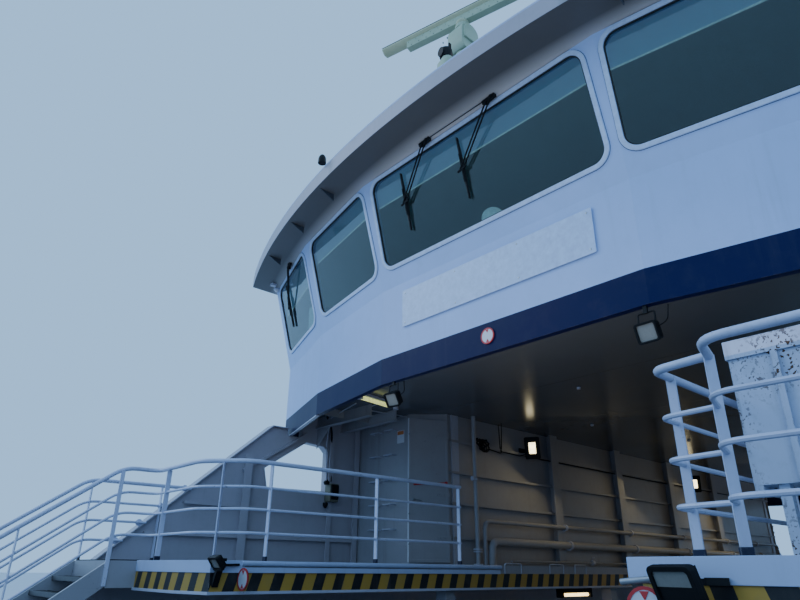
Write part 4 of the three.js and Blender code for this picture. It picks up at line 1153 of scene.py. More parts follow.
visor, roof_bead, gussets = new_drawings(3)
slab(visor, GROUND, roof_outline(0), SOFFIT, ROOF - 0.045)
slab(visor, GROUND, roof_outline(0.07), ROOF - 0.06, ROOF)
bead_line = [Vector((x, y, ROOF - 0.04)) for x, y in roof_outline(0.03)]
rings = []
for i, point in enumerate(bead_line):
    along = (bead_line[(i + 1) % len(bead_line)] - bead_line[i - 1]).normalized()
    across = along.cross(UP)
    rings.append([point + across * a + Vector((0, 0, b)) for a, b in circle(0, 0, 0.034, 8)])
roof_bead.loft(rings, wrap=True)
for y in GUSSET_YS:
    rim = ARC_CENTRE_X + sqrt(VISOR_RADIUS ** 2 - y ** 2)
    wall = rim - GUSSET_LENGTH
    triangle = [(rim - 0.05, SOFFIT), (wall, SOFFIT), (wall, SOFFIT - GUSSET_DEPTH)]
    slab(gussets, long_plane(y), triangle, -0.006, 0.006)
print("visor arc points:", len(roof_outline(0)) // 2)

# %% Roof paint
RIM_SHADE_START, RIM_SHADE_FULL = 15.56, 15.92


def painted_rim_shade(tree, where):
    """A painted shade that fades in towards the rim of the visor, on the underside only."""
    part = parts_of(tree, where)
    beyond = calc(tree, "ADD", calc(tree, "ABSOLUTE", part["X"]), -ARC_CENTRE_X * MODEL_SCALE)
    square = calc(tree, "MULTIPLY_ADD", beyond, beyond, multiply(tree, part["Y"], part["Y"]))
    fade = ramp(tree, calc(tree, "SQRT", square), RIM_SHADE_START * MODEL_SCALE, RIM_SHADE_FULL * MODEL_SCALE)
    return multiply(tree, fade, facing_down(tree))


# The light underside coat and the dark rim coat are painted light and painted shade under the visor.
roof_paint = paint("roof paint", SHELL_WHITE, 0.4, runs=0.2, rust_amount=0.08, wear=0.15, gloss=0.2, coats=[
    seam_coat((0.2, 0.23, 0.26), 3.0, 9.0, 0.5, 0.012),
    deck_coat((0.27, 0.31, 0.35), ROOF),
    underside_coat((0.68, 0.68, 0.69)),
    Coat((0.1, 0.105, 0.115), painted_rim_shade),
])
# The gussets are painted near black, a painted shade under the visor.
gusset_shade_paint = plain("gusset shade paint", (0.045, 0.055, 0.075), 0.5)
make("roof", [visor], roof_paint, 0.01, replaces=("bridge_roof",))
make("roof_bead", [roof_bead], white_paint)
make("visor_gussets", everywhere(gussets), gusset_shade_paint)
print("gussets under each visor:", 2 * len(GUSSET_YS))

# %% [markdown]
# Square floodlights hang in black stirrups under the lip of the bridge front and light the
# car deck. A floodlight is a ribbed body behind a frame, with its lens or its reflector set
# back in it. Corner and tunnel lamps are larger or flatter, so one function draws them all.

# %% A floodlight
pale_lens = plain("unlit lens", (0.2, 0.215, 0.21), 0.15, grain=120.0, change=0.12)
RIBS = 7


def flood(frames, bodies, place_at, aim, width, height, depth, border=0.02, glass=None):
    aim = Vector(aim).normalized()
    across = UP.cross(aim).normalized()
    plane = Plane(place_at, across, aim.cross(across))
    opening = centred(width - 2 * border, height - 2 * border, 0.02)
    collar(frames, plane, centred(width, height, 0.03), opening, -0.02, 0.015)
    slab(bodies, plane, centred(width * 0.92, height * 0.92, 0.03), -depth, -0.008)
    for i in range(RIBS):
        u = width * (i - 3) / 8
        rib = rectangle(*around(u, 0.003), *around(0, height * 0.4))
        slab(bodies, plane, rib, -depth - 0.022, -depth + 0.002)
    if glass:
        slab(glass, plane, [(u * 0.98, v * 0.98) for u, v in opening], -0.007, 0.002)
    return plane


print("ribs on a floodlight:", RIBS)

# %% Floodlights under the lip
LIP_FLOODS = [((11.01, -1.90, 7.50), (0.945, 0.036, -0.33)), ((11.01, 1.72, 7.525), (0.84, -0.13, -0.527))]
MOUNT_Z = 7.785
stirrups, flood_frames, flood_bodies, reflectors, bulbs, wing_bars = new_drawings(6)
for place_at, aim in LIP_FLOODS:
    plane = flood(flood_frames, flood_bodies, place_at, aim, 0.22, 0.2, 0.09)
    behind = Vector(place_at) - Vector(aim) * 0.03
    hoop = [(0, 0.085, 0.05), (-0.01, 0.085, 0.2), (-0.01, -0.085, 0.2), (0, -0.085, 0.05)]
    tube(stirrups, [behind + Vector(p) for p in hoop], 0.009, 0.02, 8)
    hanger = behind + Vector((-0.01, 0, 0.19))
    bar(stirrups, hanger, (hanger.x, hanger.y, MOUNT_Z), 0.04, 0.03, (1, 0, 0))
    for flip in (1, -1):
        pivot = behind + Vector((0, flip * 0.075, 0.05))
        turned(stirrups, [(0.024, 0), (0.024, 0.02)], pivot, (0, flip, 0), 12)
    turned(flood_bodies, [(0.04, 0), (0.04, 0.03), (0.02, 0.04)], plane.at(0.08, 0, -0.06), plane.u, 14)
    lead = [(-0.1, 0.03, -0.05), (-0.2, 0.06, -0.06), (-0.25, 0.2, -0.06)]
    tube(stirrups, [plane.at(*p) for p in lead], 0.006, 0.05, 6)
    bowl = ((0.088, 0.078, -0.006), (0.03, 0.02, -0.03), (0.088, 0.078, -0.0075))
    reflectors.loft([[plane.at(u, v, w) for u, v in rectangle(-a, a, -b, b)] for a, b, w in bowl])
    tube(bulbs, [plane.at(u, 0, -0.012) for u in (-0.04, 0.04)], 0.006, sides=8)
strip(wing_bars, [FRONT_PLANES[2].origin.xy, HOUSE_CORNER.xy], (-0.05, 0.006), (LIP - 0.016, LIP + 0.002))
for name, end in ENDS.items():
    make(f"wing_bars_{name}", everywhere(wing_bars, both_sides(end)), fitting_paint, 0, "white_paint")
    make_all([(end, -end)],
             ("stirrups", stirrups, black_metal),
             ("bodies", flood_bodies, black_metal, 0.003),
             ("frames", flood_frames, black_metal, 0.003),
             ("reflectors", reflectors, pale_lens),
             ("bulbs", bulbs, black_metal), head="lip_flood_", tail=f"_{name}")
print("floodlights under each lip:", len(LIP_FLOODS))

# %% [markdown]
# Behind the lip a fluorescent tube, conduit and a few beams run under the outer part of the
# ceiling. A pale bar closes the lip at its outer facets. Pipes and conduit are swept tubes
# with bends, and each beam is two plates, as if welded.

# %% Ceiling beams and tube lamps
tube_light = glowing("tube light", (0.85, 0.9, 0.34), 1.1)
tube_lamps, ceiling_fittings, beams = new_drawings(3)
tube(tube_lamps, [(9.98, 3.70, CEILING - 0.09), (9.3, 3.81, CEILING - 0.09)], 0.034, sides=14)
bar(ceiling_fittings, (10.03, 3.69, CEILING - 0.03), (9.05, 3.855, CEILING - 0.03), 0.1, 0.05)
for x, y in ((10.01, 3.695), (9.07, 3.85)):
    turned(ceiling_fittings, [(0.05, 0), (0.05, 0.06)], (x, y, CEILING - 0.12), sides=14)
for x in (8.75, 9.35):
    box(beams, around(x, 0.012), (4.2, SHELL_INNER_Y), (CEILING - 0.2, CEILING))
    box(beams, around(x, 0.06), (4.2, SHELL_INNER_Y), (CEILING - 0.215, CEILING - 0.2))
knee = [(5.4, CEILING - 0.2), (SHELL_INNER_Y, CEILING - 0.2), (SHELL_INNER_Y, 7.6)]
slab(beams, cross_plane(9.35), knee, -0.006, 0.006)
box(beams, (8.3, 10.2), (5.0, 5.02), (CEILING - 0.14, CEILING))
thick_conduit = [(9.2, 5.7, 7.0), (9.2, 5.75, 7.75), (9.35, 5.45, CEILING - 0.05), (9.7, 4.2, CEILING - 0.05)]
tube(ceiling_fittings, thick_conduit, 0.012, 0.15, 8)
thin_conduit = [(x, y, CEILING - 0.04) for x, y in ((8.3, 4.4), (9.3, 4.5), (9.4, 3.7))]
tube(ceiling_fittings, thin_conduit, 0.01, 0.1, 8)
for x, y in ((7.6, 1.0), (5.0, 2.4), (5.0, 0.6), (2.0, 1.8)):
    turned(ceiling_fittings, [(0.035, 0), (0.03, 0.03)], (x, y, CEILING), (0, 0, -1), 14)
make_all(QUARTERS,
         ("ceiling_tube_lamps", tube_lamps, tube_light),
         ("ceiling_fittings", ceiling_fittings, fitting_paint),
         ("ceiling_beams", beams, wall_paint, 0.003))
print("beams in each quarter: 2")

# %% [markdown]
# Each platform corner has a floodlight that looks down on the stairs and the ramp, and a
# round clearance sign. The sign keeps its red rim and triangles but no figures. The corner
# beside a locker has them at its very end, and the open corner on its tunnel side. The lamp
# is off: a pale band across each lens is a painted reflection, and the rest of the glass is
# painted black, a painted reflection of the dark.

# %% Corner floodlights and signs
KIT_FINISH = {"frames": (black_metal, 0.004), "bodies": (black_metal, 0.003),
              "glass": (black_metal, 0, "tinted_glass"), "lens": (pale_lens,),
              "arms": (black_metal, 0.002), "sign": (sign_white,), "red": (red_paint,)}


def corner_kit(lamp_at, aim, size, reflection_rows, sign_at, sign_radius, brackets):
    kit = new_kit(KIT_FINISH)
    plane = flood(kit["frames"], kit["bodies"], lamp_at, aim, *size, 0.045, 0.026, kit["glass"])
    lens_half = size[0] / 2 - 0.022
    # The pale band on each lens is a painted reflection, and its black glass a painted reflection of the
    # dark.
    slab(kit["lens"], plane, rectangle(-lens_half, lens_half, *reflection_rows), -0.002, 0.004)
    bar(kit["arms"], plane.at(-0.1, 0, -0.07), plane.at(0.1, 0, -0.07), 0.05, 0.03)
    x, y, z = sign_at
    slab(kit["arms"], cross_plane(x), circle(y, z, sign_radius * 0.98), 0, 0.008)
    round_sign(kit["sign"], kit["red"], cross_plane(x), y, z, sign_radius)
    for bracket in brackets:
        bar(kit["arms"], *bracket)
    return kit


locker_kit = corner_kit((13.186, 2.875, 5.385), (0.886, -0.318, -0.336), (0.28, 0.2), (0, 0.085),
                        (13.07, 2.655, 5.275), 0.108,
                        [((13.10, 2.98, 5.41), (13.06, 3.08, 5.41), 0.04, 0.035)])
open_kit = corner_kit((12.95, 2.362, 5.485), (0.797, 0.041, -0.604), (0.23, 0.17), (-0.045, 0.053),
                      (12.58, 2.385, 5.33), 0.118,
                      [((12.87, 2.5, 5.26), (12.88, 2.4, 5.44), 0.07, 0.05),
                       ((12.9, 2.44, 5.47), (12.6, 2.49, 5.48), 0.035, 0.025),
                       ((12.565, 2.385, 5.33), (12.565, 2.5, 5.33), 0.03, 0.01)])
make_kit("corner", [(locker_kit, LOCKER_QUARTERS), (open_kit, OPEN_QUARTERS)], KIT_FINISH)
stub = tube(Drawing(), [(13.075, 2.53, 5.4), (13.09, 2.74, 5.42)], 0.017)
make("corner_lamp_stubs", everywhere(stub, LOCKER_QUARTERS), galvanised)
print("corner kits:", len(QUARTERS))

# %% [markdown]
# The equipment locker behind the rail has a lid that overhangs, two doors with hinges and a
# hasp, and T ribs that stiffen its outer face. Salt has got under its paint.

# %% Lockers
LOCKER_X, LOCKER_Y, LOCKER_TOP = (11.0, 11.57), (2.75, 3.7), 7.03
HASP_Y, HASP_Z = 3.19, 6.5


def locker_plan(past_ends, past_sides):
    return rectangle(LOCKER_X[0] - past_ends, LOCKER_X[1] + past_ends,
                     LOCKER_Y[0] - past_sides, LOCKER_Y[1] + past_sides)


lids, doors, ribs, hardware = new_drawings(4)
slab(lids, GROUND, locker_plan(0.02, 0.015), LOCKER_TOP, LOCKER_TOP + 0.012)
skirt = (locker_plan(0.02, 0.015), locker_plan(0.005, 0.003))
collar(lids, GROUND, *skirt, LOCKER_TOP - 0.13, LOCKER_TOP + 0.005)
outer_face = cross_plane(LOCKER_X[1])
inner_face = Plane((LOCKER_X[0], 0, 0), (0, -1, 0), (0, 0, 1))
for y in (3.07, 3.38):
    slab(ribs, outer_face, rectangle(*around(y, 0.006), 6.01, 6.9), 0, 0.03)
    slab(ribs, outer_face, rectangle(*around(y, 0.022), 6.01, 6.9), 0.03, 0.037)
for y0, y1, hinge_y in ((2.79, 3.215, 2.805), (3.235, 3.66, 3.645)):
    slab(doors, inner_face, rounded_rectangle(-y1, -y0, 6.04, 6.95, 0.02, 3), 0, 0.01)
    for z in (6.2, 6.78):
        turned(hardware, [(0.012, 0), (0.012, 0.09)], (LOCKER_X[0] - 0.014, hinge_y, z), sides=12)
hasp_pin = [(0.02, 0), (0.02, 0.02), (0.012, 0.03)]
turned(hardware, hasp_pin, inner_face.at(-HASP_Y, HASP_Z, 0.01), inner_face.w, 14)
bar(hardware, inner_face.at(-HASP_Y, HASP_Z, 0.03), inner_face.at(-HASP_Y + 0.06, HASP_Z - 0.06, 0.035),
    0.02, 0.01, inner_face.w)
for y in (2.75, 3.64):
    box(ribs, LOCKER_X, (y, y + 0.06), (5.95, 6.0))
for x in (11.03, 11.47):
    for y in (2.89, 3.49):
        box(ribs, (x - 0.03, x + 0.1), (y - 0.03, y + 0.1), (PLATFORM, PLATFORM + 0.012))
make_all(LOCKER_QUARTERS,
         ("lids", lids, locker_paint, 0.003),
         ("doors", doors, locker_paint, 0.003),
         ("ribs", ribs, locker_paint, 0.002),
         ("hardware", hardware, galvanised), head="locker_")
print("lockers dressed:", len(LOCKER_QUARTERS))

# %% [markdown]
# Casing doors are steel, with a stiff rim, dogs along the free edge, a lever on both faces
# and a black seal. A red stay bar with a ball end holds the door to the wall. Each door's
# plane stands at its own angle, so one drawing serves all four, the ajar one too.

# %% Casing doors
HINGE_OFFSET = 0.037 * sqrt(0.5)
DOOR_AXIS = (7.78 + HINGE_OFFSET, CASING_Y - HINGE_OFFSET, 0)
DOOR_WIDTH, DOOR_LOW, DOOR_HIGH = 0.78, PLATFORM + 0.04, 8.05
CLOSED_ANGLE, AJAR_ANGLE = 45, 22
HANDLE_Z, STAY_Z = 6.6, 6.9
DOOR_FINISH = {"rims": (wall_paint, 0.003), "seals": (rubber,), "levers": (galvanised,),
               "stays": (red_paint, 0, "rail_paint"), "edges": (sign_white, 0, "grey_blue_paint")}


def door_outline(hinge_side, free_side, ends):
    return rectangle(hinge_side, DOOR_WIDTH - free_side, DOOR_LOW + ends, DOOR_HIGH - ends)


def door_parts(angle):
    swing = radians(angle)
    leaf = Plane(DOOR_AXIS, (cos(swing), sin(swing), 0), (0, 0, 1))
    kit = new_kit(DOOR_FINISH)
    levers, rims, stays = kit["levers"], kit["rims"], kit["stays"]
    collar(rims, leaf, door_outline(0.01, 0.004, 0.005), door_outline(0.055, 0.05, 0.05), 0.024, 0.033)
    seal = (door_outline(0.012, 0.012, 0.02), door_outline(0.035, 0.035, 0.043))
    collar(kit["seals"], leaf, *seal, -0.036, -0.024)
    # The door's free edge is painted pale, a painted highlight along it.
    slab(kit["edges"], leaf, door_outline(DOOR_WIDTH - 0.001, -0.007, 0), -0.025, 0.034)
    for z in (5.96, 6.7, 7.76):
        slab(rims, leaf, rounded_rectangle(-0.02, 0.24, *around(z, 0.03), 0.02, 4), 0.031, 0.041)
        for u in (0.1, 0.19):
            turned(levers, [(0.013, 0), (0.013, 0.006), (0.008, 0.009)], leaf.at(u, z, 0.041), leaf.w, 8)
    for flip, u in ((1, 0.7), (-1, 0.58)):
        spindle = [(0.03, 0), (0.03, 0.012), (0.014, 0.016), (0.014, 0.05)]
        turned(levers, spindle, leaf.at(u, HANDLE_Z, flip * 0.025), leaf.w * flip, 16)
        handle = [leaf.at(u, HANDLE_Z, flip * 0.07), leaf.at(u - 0.14, HANDLE_Z - 0.02, flip * 0.072)]
        tube(levers, handle, 0.012, sides=10)
    for z in (5.85, 6.35, 6.95, 7.75):
        slab(levers, leaf, rectangle(DOOR_WIDTH - 0.03, DOOR_WIDTH + 0.012, *around(z, 0.012)), 0.033, 0.044)
    tube(stays, [leaf.at(0.08, STAY_Z, 0.06), leaf.at(0.7, STAY_Z - 0.05, 0.06)], 0.014)
    ball = [(0.004, -0.03), (0.024, -0.018), (0.031, 0), (0.024, 0.018), (0.004, 0.03)]
    turned(stays, ball, leaf.at(0.07, STAY_Z, 0.06), leaf.u, 16)
    for u in (0.2, 0.55):
        turned(levers, [(0.012, 0), (0.012, 0.03)], leaf.at(u, STAY_Z - 0.08 * u, 0.025), leaf.w, 10)
    return kit


for place_in, name in QUARTER_NAMES.items():
    parts = door_parts(CLOSED_ANGLE - (AJAR_ANGLE if name == "aft_port" else 0))
    make_kit("door", [(parts, [place_in])], DOOR_FINISH, f"_{name}", body=f"door_{name}")

# %% [markdown]
# The casing's end wall has step irons in two columns, a small orange and white plate with
# nothing on it, and a flat bar on its outer corner. A telephone box hangs on the shell
# beside it, with its cable run up to the ceiling.

# %% Casing end wall
END_WALL_X, IRON_WIDTH, IRON_REACH = 8.3, 0.12, 0.13
steps, corner_bars, plates, plate_tops, phones, phone_covers = new_drawings(6)
for y in (5.235, 4.81):
    for z in (6.12, 6.56, 7.0, 7.47, 7.94):
        iron = [(0, -IRON_WIDTH), (IRON_REACH, -IRON_WIDTH), (IRON_REACH, IRON_WIDTH), (0, IRON_WIDTH)]
        tube(steps, [(END_WALL_X + out, y + side, z) for out, side in iron], 0.013, 0.03, 8)
end_wall = cross_plane(END_WALL_X)
slab(plates, end_wall, rounded_rectangle(4.47, 4.67, 7.68, 7.92, 0.01, 3), 0, 0.004)
slab(plate_tops, end_wall, rectangle(4.48, 4.66, 7.84, 7.91), 0.004, 0.0055)
box(corner_bars, (END_WALL_X, END_WALL_X + 0.012), (5.78, 5.86), (PLATFORM, CEILING))
# A pale flat bar at the casing's tunnel corner stands for the lit end of the wall, a painted highlight.
box(steps, (7.5, 7.69), (3.798, 3.822), (PLATFORM, CEILING))
box(phones, (8.92, 9.12), (5.66, 5.84), (6.62, 6.95))
box(phones, (8.98, 9.06), (5.8, 5.87), (6.55, 7.02))
slab(phone_covers, long_plane(5.66), rounded_rectangle(8.935, 9.105, 6.66, 6.93, 0.02, 4), 0, 0.03)
turned(phone_covers, [(0.05, 0), (0.06, 0.05), (0.02, 0.09)], (9.16, 5.74, 6.93), sides=16)
turned(phone_covers, [(0.02, 0), (0.05, 0.05), (0.05, 0.1)], (9.16, 5.74, 6.5), sides=16)
phone_cable = [(9.02, 5.8, 7.0), (9.02, 5.84, 7.7), (9.12, 5.7, 7.98), (9.4, 5.5, CEILING - 0.03)]
tube(phone_covers, phone_cable, 0.02, 0.15, 10)
orange = plain("orange plate", (0.5, 0.17, 0.04), 0.45)
phone_body = plain("phone box body", (0.12, 0.13, 0.1), 0.5)
make_all(QUARTERS,
         ("step_irons", steps, fitting_paint),
         ("casing_corner_bars", corner_bars, wall_paint, 0.002),
         ("blank_plates", plates, sign_white),
         ("blank_plate_tops", plate_tops, orange),
         ("telephone_boxes", phones, phone_body, 0.008),
         ("telephone_covers", phone_covers, black_metal, 0.006))
print("step irons in each column: 5")

# %% [markdown]
# A flat bar caps the shell where it climbs to the bridge, and the same bar runs on along
# the bulwark. The opening beside the stair head has a thick rim. On the inside the shell
# shows its uprights, two stringers, and stays at every frame of the bulwark. Each is a
# flat outline on an upright plane, made into a slab as thick as the real plate.

# %% Shell caps and rims
def offset_loop(points, shift):
    """Grows a closed outline, given anticlockwise, by a distance."""
    closed = [points[-1], *points, points[0]]
    return [(p.x, p.y) for p in offset_path(closed, shift)[1:-1]]


def slant_x(z):
    """Where the shell's slanted edge stands at a height."""
    return 10.38 + (7.88 - z) / 0.862


BULWARK_TOP, PLATE_HALF = 4.1, 0.006
SHELL_TOP = [(10.04, 7.88), (10.38, 7.88), (slant_x(BULWARK_TOP), BULWARK_TOP), (17.2, BULWARK_TOP)]
BULWARK_PLAN = [(17.18, 6.0), (17.3, 6.0), (20.6, 5.44), (22.9, 4.6), (22.9, 3.45)]
OPENING = [(10.39, 6.79), (10.47, 7.12), (9.6, 7.69), (9.2, 7.66), (9.09, 7.56), (9.09, 6.81)]
centreline = long_plane(0)
caps, rims, uprights, end_caps, stays = new_drawings(5)
cap_outline = [(p.x, p.y) for p in offset_path(SHELL_TOP, -0.022)] + SHELL_TOP[::-1]
slab(caps, centreline, cap_outline, -6.03, -5.80)
strip(end_caps, BULWARK_PLAN, (-0.03, 0.2), (BULWARK_TOP, BULWARK_TOP + 0.022))
collar(rims, centreline, offset_loop(OPENING, 0.03), offset_loop(OPENING, -0.003), -6.02, -5.85)
print("shell cap climbs to", SHELL_TOP[0][1], "m")

# %% Shell uprights and bulwark stays
def inside_shell(near, far):
    return SHELL_INNER_Y - near, SHELL_INNER_Y - far


T_BARS = [(9.03, 8.0, 0.07, 0.05), (8.41, CEILING, 0.09, 0.06), (10.85, 7.3, 0.13, 0.075)]
for x, z1, depth, half_width in T_BARS:
    box(uprights, around(x, PLATE_HALF), inside_shell(depth, 0), (PLATFORM, z1))
    box(uprights, around(x, half_width), inside_shell(depth + 0.012, depth), (PLATFORM, z1))
for z in (5.94, 6.43):
    reach = (8.36, slant_x(z) - 0.15)
    box(uprights, reach, inside_shell(0.07, 0), (z, z + 0.014))
    box(uprights, reach, inside_shell(0.08, 0.07), (z - 0.03, z + 0.014))
bar(uprights, (10.9, SHELL_INNER_Y - 0.03, 7.03), (9.62, SHELL_INNER_Y - 0.03, 7.84), 0.06, 0.05)
bar(uprights, (16.9, SHELL_INNER_Y - 0.02, 3.62), (13.2, SHELL_INNER_Y - 0.02, 3.62), 0.05, 0.05)
foot_z, head_z = DECK + 0.01, BULWARK_TOP - 0.01
for x in (15.3, 16.3):
    stay = [(5.87, foot_z), (5.87, head_z), (5.81, head_z), (5.6, foot_z)]
    slab(stays, cross_plane(x), stay, -PLATE_HALF, PLATE_HALF)
INNER_BULWARK = [Vector(p) for p in ((17.28, 5.87, 0), (20.5, 5.32, 0), (22.77, 4.52, 0))]
for start, end, count in zip(INNER_BULWARK, INNER_BULWARK[1:], (3, 2)):
    along = (end - start).normalized()
    for i in range(count):
        foot = start + (end - start) * ((i + 0.5) / count)
        stay = [(-0.01, foot_z), (0.27, foot_z), (0.06, head_z), (-0.01, head_z)]
        slab(stays, Plane(foot, (along.y, -along.x, 0), (0, 0, 1)), stay, -PLATE_HALF, PLATE_HALF)
make_all(QUARTERS,
         ("shell_caps", caps, shell_paint, 0.005),
         ("bulwark_caps", end_caps, shell_paint, 0.005),
         ("gangway_light_rims", rims, shell_paint, 0.008),
         ("shell_uprights", uprights, shell_paint, 0.002),
         ("bulwark_stays", stays, shell_paint, 0.002))
print("bulwark stays in each quarter: 7")

# %% [markdown]
# The tunnel wall is the busy part: stringers between the web frames, two big pipes that
# dive through the platform, a thin one along its foot, an upright pipe with a flange, a
# hanging coil of cable, and lit floodlights on brackets. It is drawn along the whole port
# wall, and the starboard wall is the same turned end for end.

# %% Stringers and pipes of the tunnel
WALL_X, WALL_END_X, PIPE_Y, UPRIGHT_X = 7.76, -7.3, 3.6, 7.28
FOOT_PIPE_Z = PLATFORM + 0.09
stringers, pipes, flanges = new_drawings(3)
for z in (7.70, 7.12, 6.57, 5.98):
    box(stringers, around(0, WALL_X), (CASING_Y - 0.075, CASING_Y), (z, z + 0.012))
    box(stringers, around(0, WALL_X), (CASING_Y - 0.083, CASING_Y - 0.075), (z - 0.03, z + 0.012))
pipe_runs = [(7.09, 3.585, 6.28, 0.04), (6.98, 3.52, 5.93, 0.07)]
for start, y, z, radius in pipe_runs:
    route = [(start, PLATFORM), (start, z), (WALL_END_X, z), (WALL_END_X, PLATFORM)]
    tube(pipes, [(x, y, height) for x, height in route], radius, 0.16, 14)
    for x in (4.52, 1.87, -0.78, -3.48, -5.6):
        turned(flanges, [(radius + 0.022, -0.03), (radius + 0.022, 0.03)], (x, y, z), (1, 0, 0), 18)
        box(flanges, around(x, 0.02), (y - 0.01, y + 0.1), (z - radius - 0.03, z - radius))
foot_route = [(6.35, PLATFORM), (6.35, FOOT_PIPE_Z), (-7.0, FOOT_PIPE_Z), (-7.0, PLATFORM)]
tube(pipes, [(x, PIPE_Y, z) for x, z in foot_route], 0.022, 0.08, 10)
tube(pipes, [(UPRIGHT_X, PIPE_Y, PLATFORM), (UPRIGHT_X, PIPE_Y, CEILING)], 0.041, sides=16)
for z, radius in ((5.74, 0.085), (5.78, 0.085), (7.0, 0.052), (PLATFORM + 0.01, 0.08)):
    turned(flanges, [(radius, 0), (radius, 0.024)], (UPRIGHT_X, PIPE_Y, z), sides=20)
branch = [(0.03, 0), (0.03, 0.07), (0.045, 0.07), (0.045, 0.09)]
turned(flanges, branch, (UPRIGHT_X, PIPE_Y, 7.02), (1, 0, 0), 16)
for x in (3.6, 1.2, -2.2):
    turned(flanges, [(0.05, -0.05), (0.06, 0), (0.05, 0.05)], (x, PIPE_Y, FOOT_PIPE_Z), (1, 0, 0), 16)
    valve_wheel = [(0.012, 0), (0.012, 0.09), (0.05, 0.09), (0.05, 0.1)]
    turned(flanges, valve_wheel, (x, PIPE_Y, PLATFORM + 0.1), sides=16)
print("pipes along each tunnel wall:", len(pipe_runs) + 1)

# %% Cables and lamps of the tunnel
LAMP_AIM, CABLE_Y = (0.86, -0.5, -0.25), 3.74
led_light = glowing("led light", (1.0, 0.85, 0.5), 6.0)
cables, lamp_arms, led_frames, led_bodies, led_glass, led_cells = new_drawings(6)
turns = [2 * pi * i / 20 for i in range(70)]
coil = [(6.8 + 0.1 * cos(t) + 0.01 * t, 3.7 + 0.02 * sin(7 * t), 7.7 + 0.11 * sin(1.05 * t))
        for t in turns]
tube(cables, coil, 0.018, sides=8)
for route in ([(6.68, CABLE_Y, 7.66), (6.3, CABLE_Y, 7.62), (6.25, CABLE_Y, CEILING)],
              [(6.35, CABLE_Y, CEILING), (6.33, CABLE_Y, 7.66), (5.7, CABLE_Y, 7.64), (5.5, 3.62, 7.72)]):
    tube(cables, route, 0.01, 0.05, 6)
tube(cables, [(5.5, 3.75, 7.66), (0.7, 3.75, 7.64), (-6.5, 3.75, 7.66)], 0.012, 0, 6)
for x, z in ((5.58, 7.79), (-1.8, 7.72)):
    plane = flood(led_frames, led_bodies, (x, 3.5, z), LAMP_AIM, 0.31, 0.45, 0.05, 0.065, led_glass)
    slab(led_cells, plane, centred(0.14, 0.23, 0.015, 3), 0, 0.006)
    for u, middle, foot in ((-0.1, -0.12, -0.16), (0.1, 0.03, -0.02)):
        arm = [plane.at(u, 0, -0.04), (x + middle, 3.62, z - 0.02), (x + foot, 3.8, z - 0.03)]
        tube(lamp_arms, arm, 0.018, 0.03, 8)
    box(lamp_arms, (x - 0.22, x + 0.05), (3.79, CASING_Y), (z - 0.08, z + 0.03))
make("tunnel_stringers", everywhere(stringers, PORT_AND_STARBOARD), wall_paint)
make_all(PORT_AFT_AND_TURNED,
         ("pipes", pipes, wall_paint),
         ("flanges", flanges, fitting_paint, 0.003),
         ("cables", cables, black_metal),
         ("lamp_arms", lamp_arms, black_metal, 0.003),
         ("lamp_frames", led_frames, black_metal, 0.006),
         ("lamp_bodies", led_bodies, black_metal),
         ("lamp_backs", led_glass, black_metal, 0, "tinted_glass"),
         ("lamp_cells", led_cells, led_light), head="tunnel_")
print("lamps on each tunnel wall: 2")

# %% Lamps over the outer lanes
LANE_LAMP_Y, LANE_LAMP_HALF = 3.0, 0.49
lane_boxes, lane_tubes = new_drawings(2)
for middle in (5.28, 0.58, -4.12):
    wide = around(LANE_LAMP_Y, 0.07)
    box(lane_boxes, around(middle, LANE_LAMP_HALF), wide, (PLATFORM_UNDER - 0.125, PLATFORM_UNDER))
    for end in (-0.46, 0.46):
        box(lane_boxes, around(middle + end, 0.03), wide, (PLATFORM_UNDER - 0.2, PLATFORM_UNDER - 0.06))
    tube_ends = [(x, LANE_LAMP_Y, PLATFORM_UNDER - 0.155) for x in around(middle, 0.43)]
    tube(lane_tubes, tube_ends, 0.03, sides=12)
make_all(PORT_AFT_AND_TURNED,
         ("lane_lamp_boxes", lane_boxes, black_metal, 0.006),
         ("lane_lamp_tubes", lane_tubes, warm_light))
print("lamps over each outer lane: 3")

# %% [markdown]
# Each radar turns on a gearbox with a rounded top. The antenna is two beams: the array, with
# a sloping face and a dark edge, and a riveted channel that carries it. Both ride on the
# turning body. Beside it a small searchlight stands on a green foot, close to the visor.

# %% Radar gearbox and searchlight
RADAR_X, RADAR_Y, GEAR_Z, ARCH = 11.63, 0.33, 11.9, 0.165
gearbox, foot_bolts, search_foot, search_head = new_drawings(4)
side_view = Plane((RADAR_X, RADAR_Y, 0), (1, 0, 0), (0, 0, 1))
arch = [(ARCH * cos(a), 11.93 + ARCH * sin(a)) for a in [pi * i / 12 for i in range(13)]]
slab(gearbox, side_view, [(ARCH, 11.72), *arch, (-ARCH, 11.72), (-0.12, 11.64), (0.12, 11.64)], -0.13, 0.13)
cover = [(u * 0.82, GEAR_Z + (v - GEAR_Z) * 0.82) for u, v in [(ARCH, 11.76), *arch, (-ARCH, 11.76)]]
slab(gearbox, side_view, cover, -0.155, 0.155)
column = [(0.22, 0), (0.22, 0.05), (0.14, 0.07), (0.11, 0.16), (0.11, 0.54)]
turned(gearbox, column, (RADAR_X, RADAR_Y, ROOF), sides=28)
turned(gearbox, [(0.11, 0), (0.1, 0.07)], (RADAR_X, RADAR_Y, 12.08))
for i in range(6):
    across, ahead = cos(pi * i / 3), sin(pi * i / 3)
    foot = (RADAR_X + 0.185 * across, RADAR_Y + 0.185 * ahead, ROOF + 0.05)
    turned(foot_bolts, [(0.016, 0), (0.016, 0.014)], foot, sides=6)
    on_cover = (RADAR_X + 0.17 * across, RADAR_Y - 0.2, GEAR_Z + 0.17 * abs(ahead))
    turned(foot_bolts, [(0.012, 0), (0.012, 0.01)], on_cover, (0, -1, 0), 6)

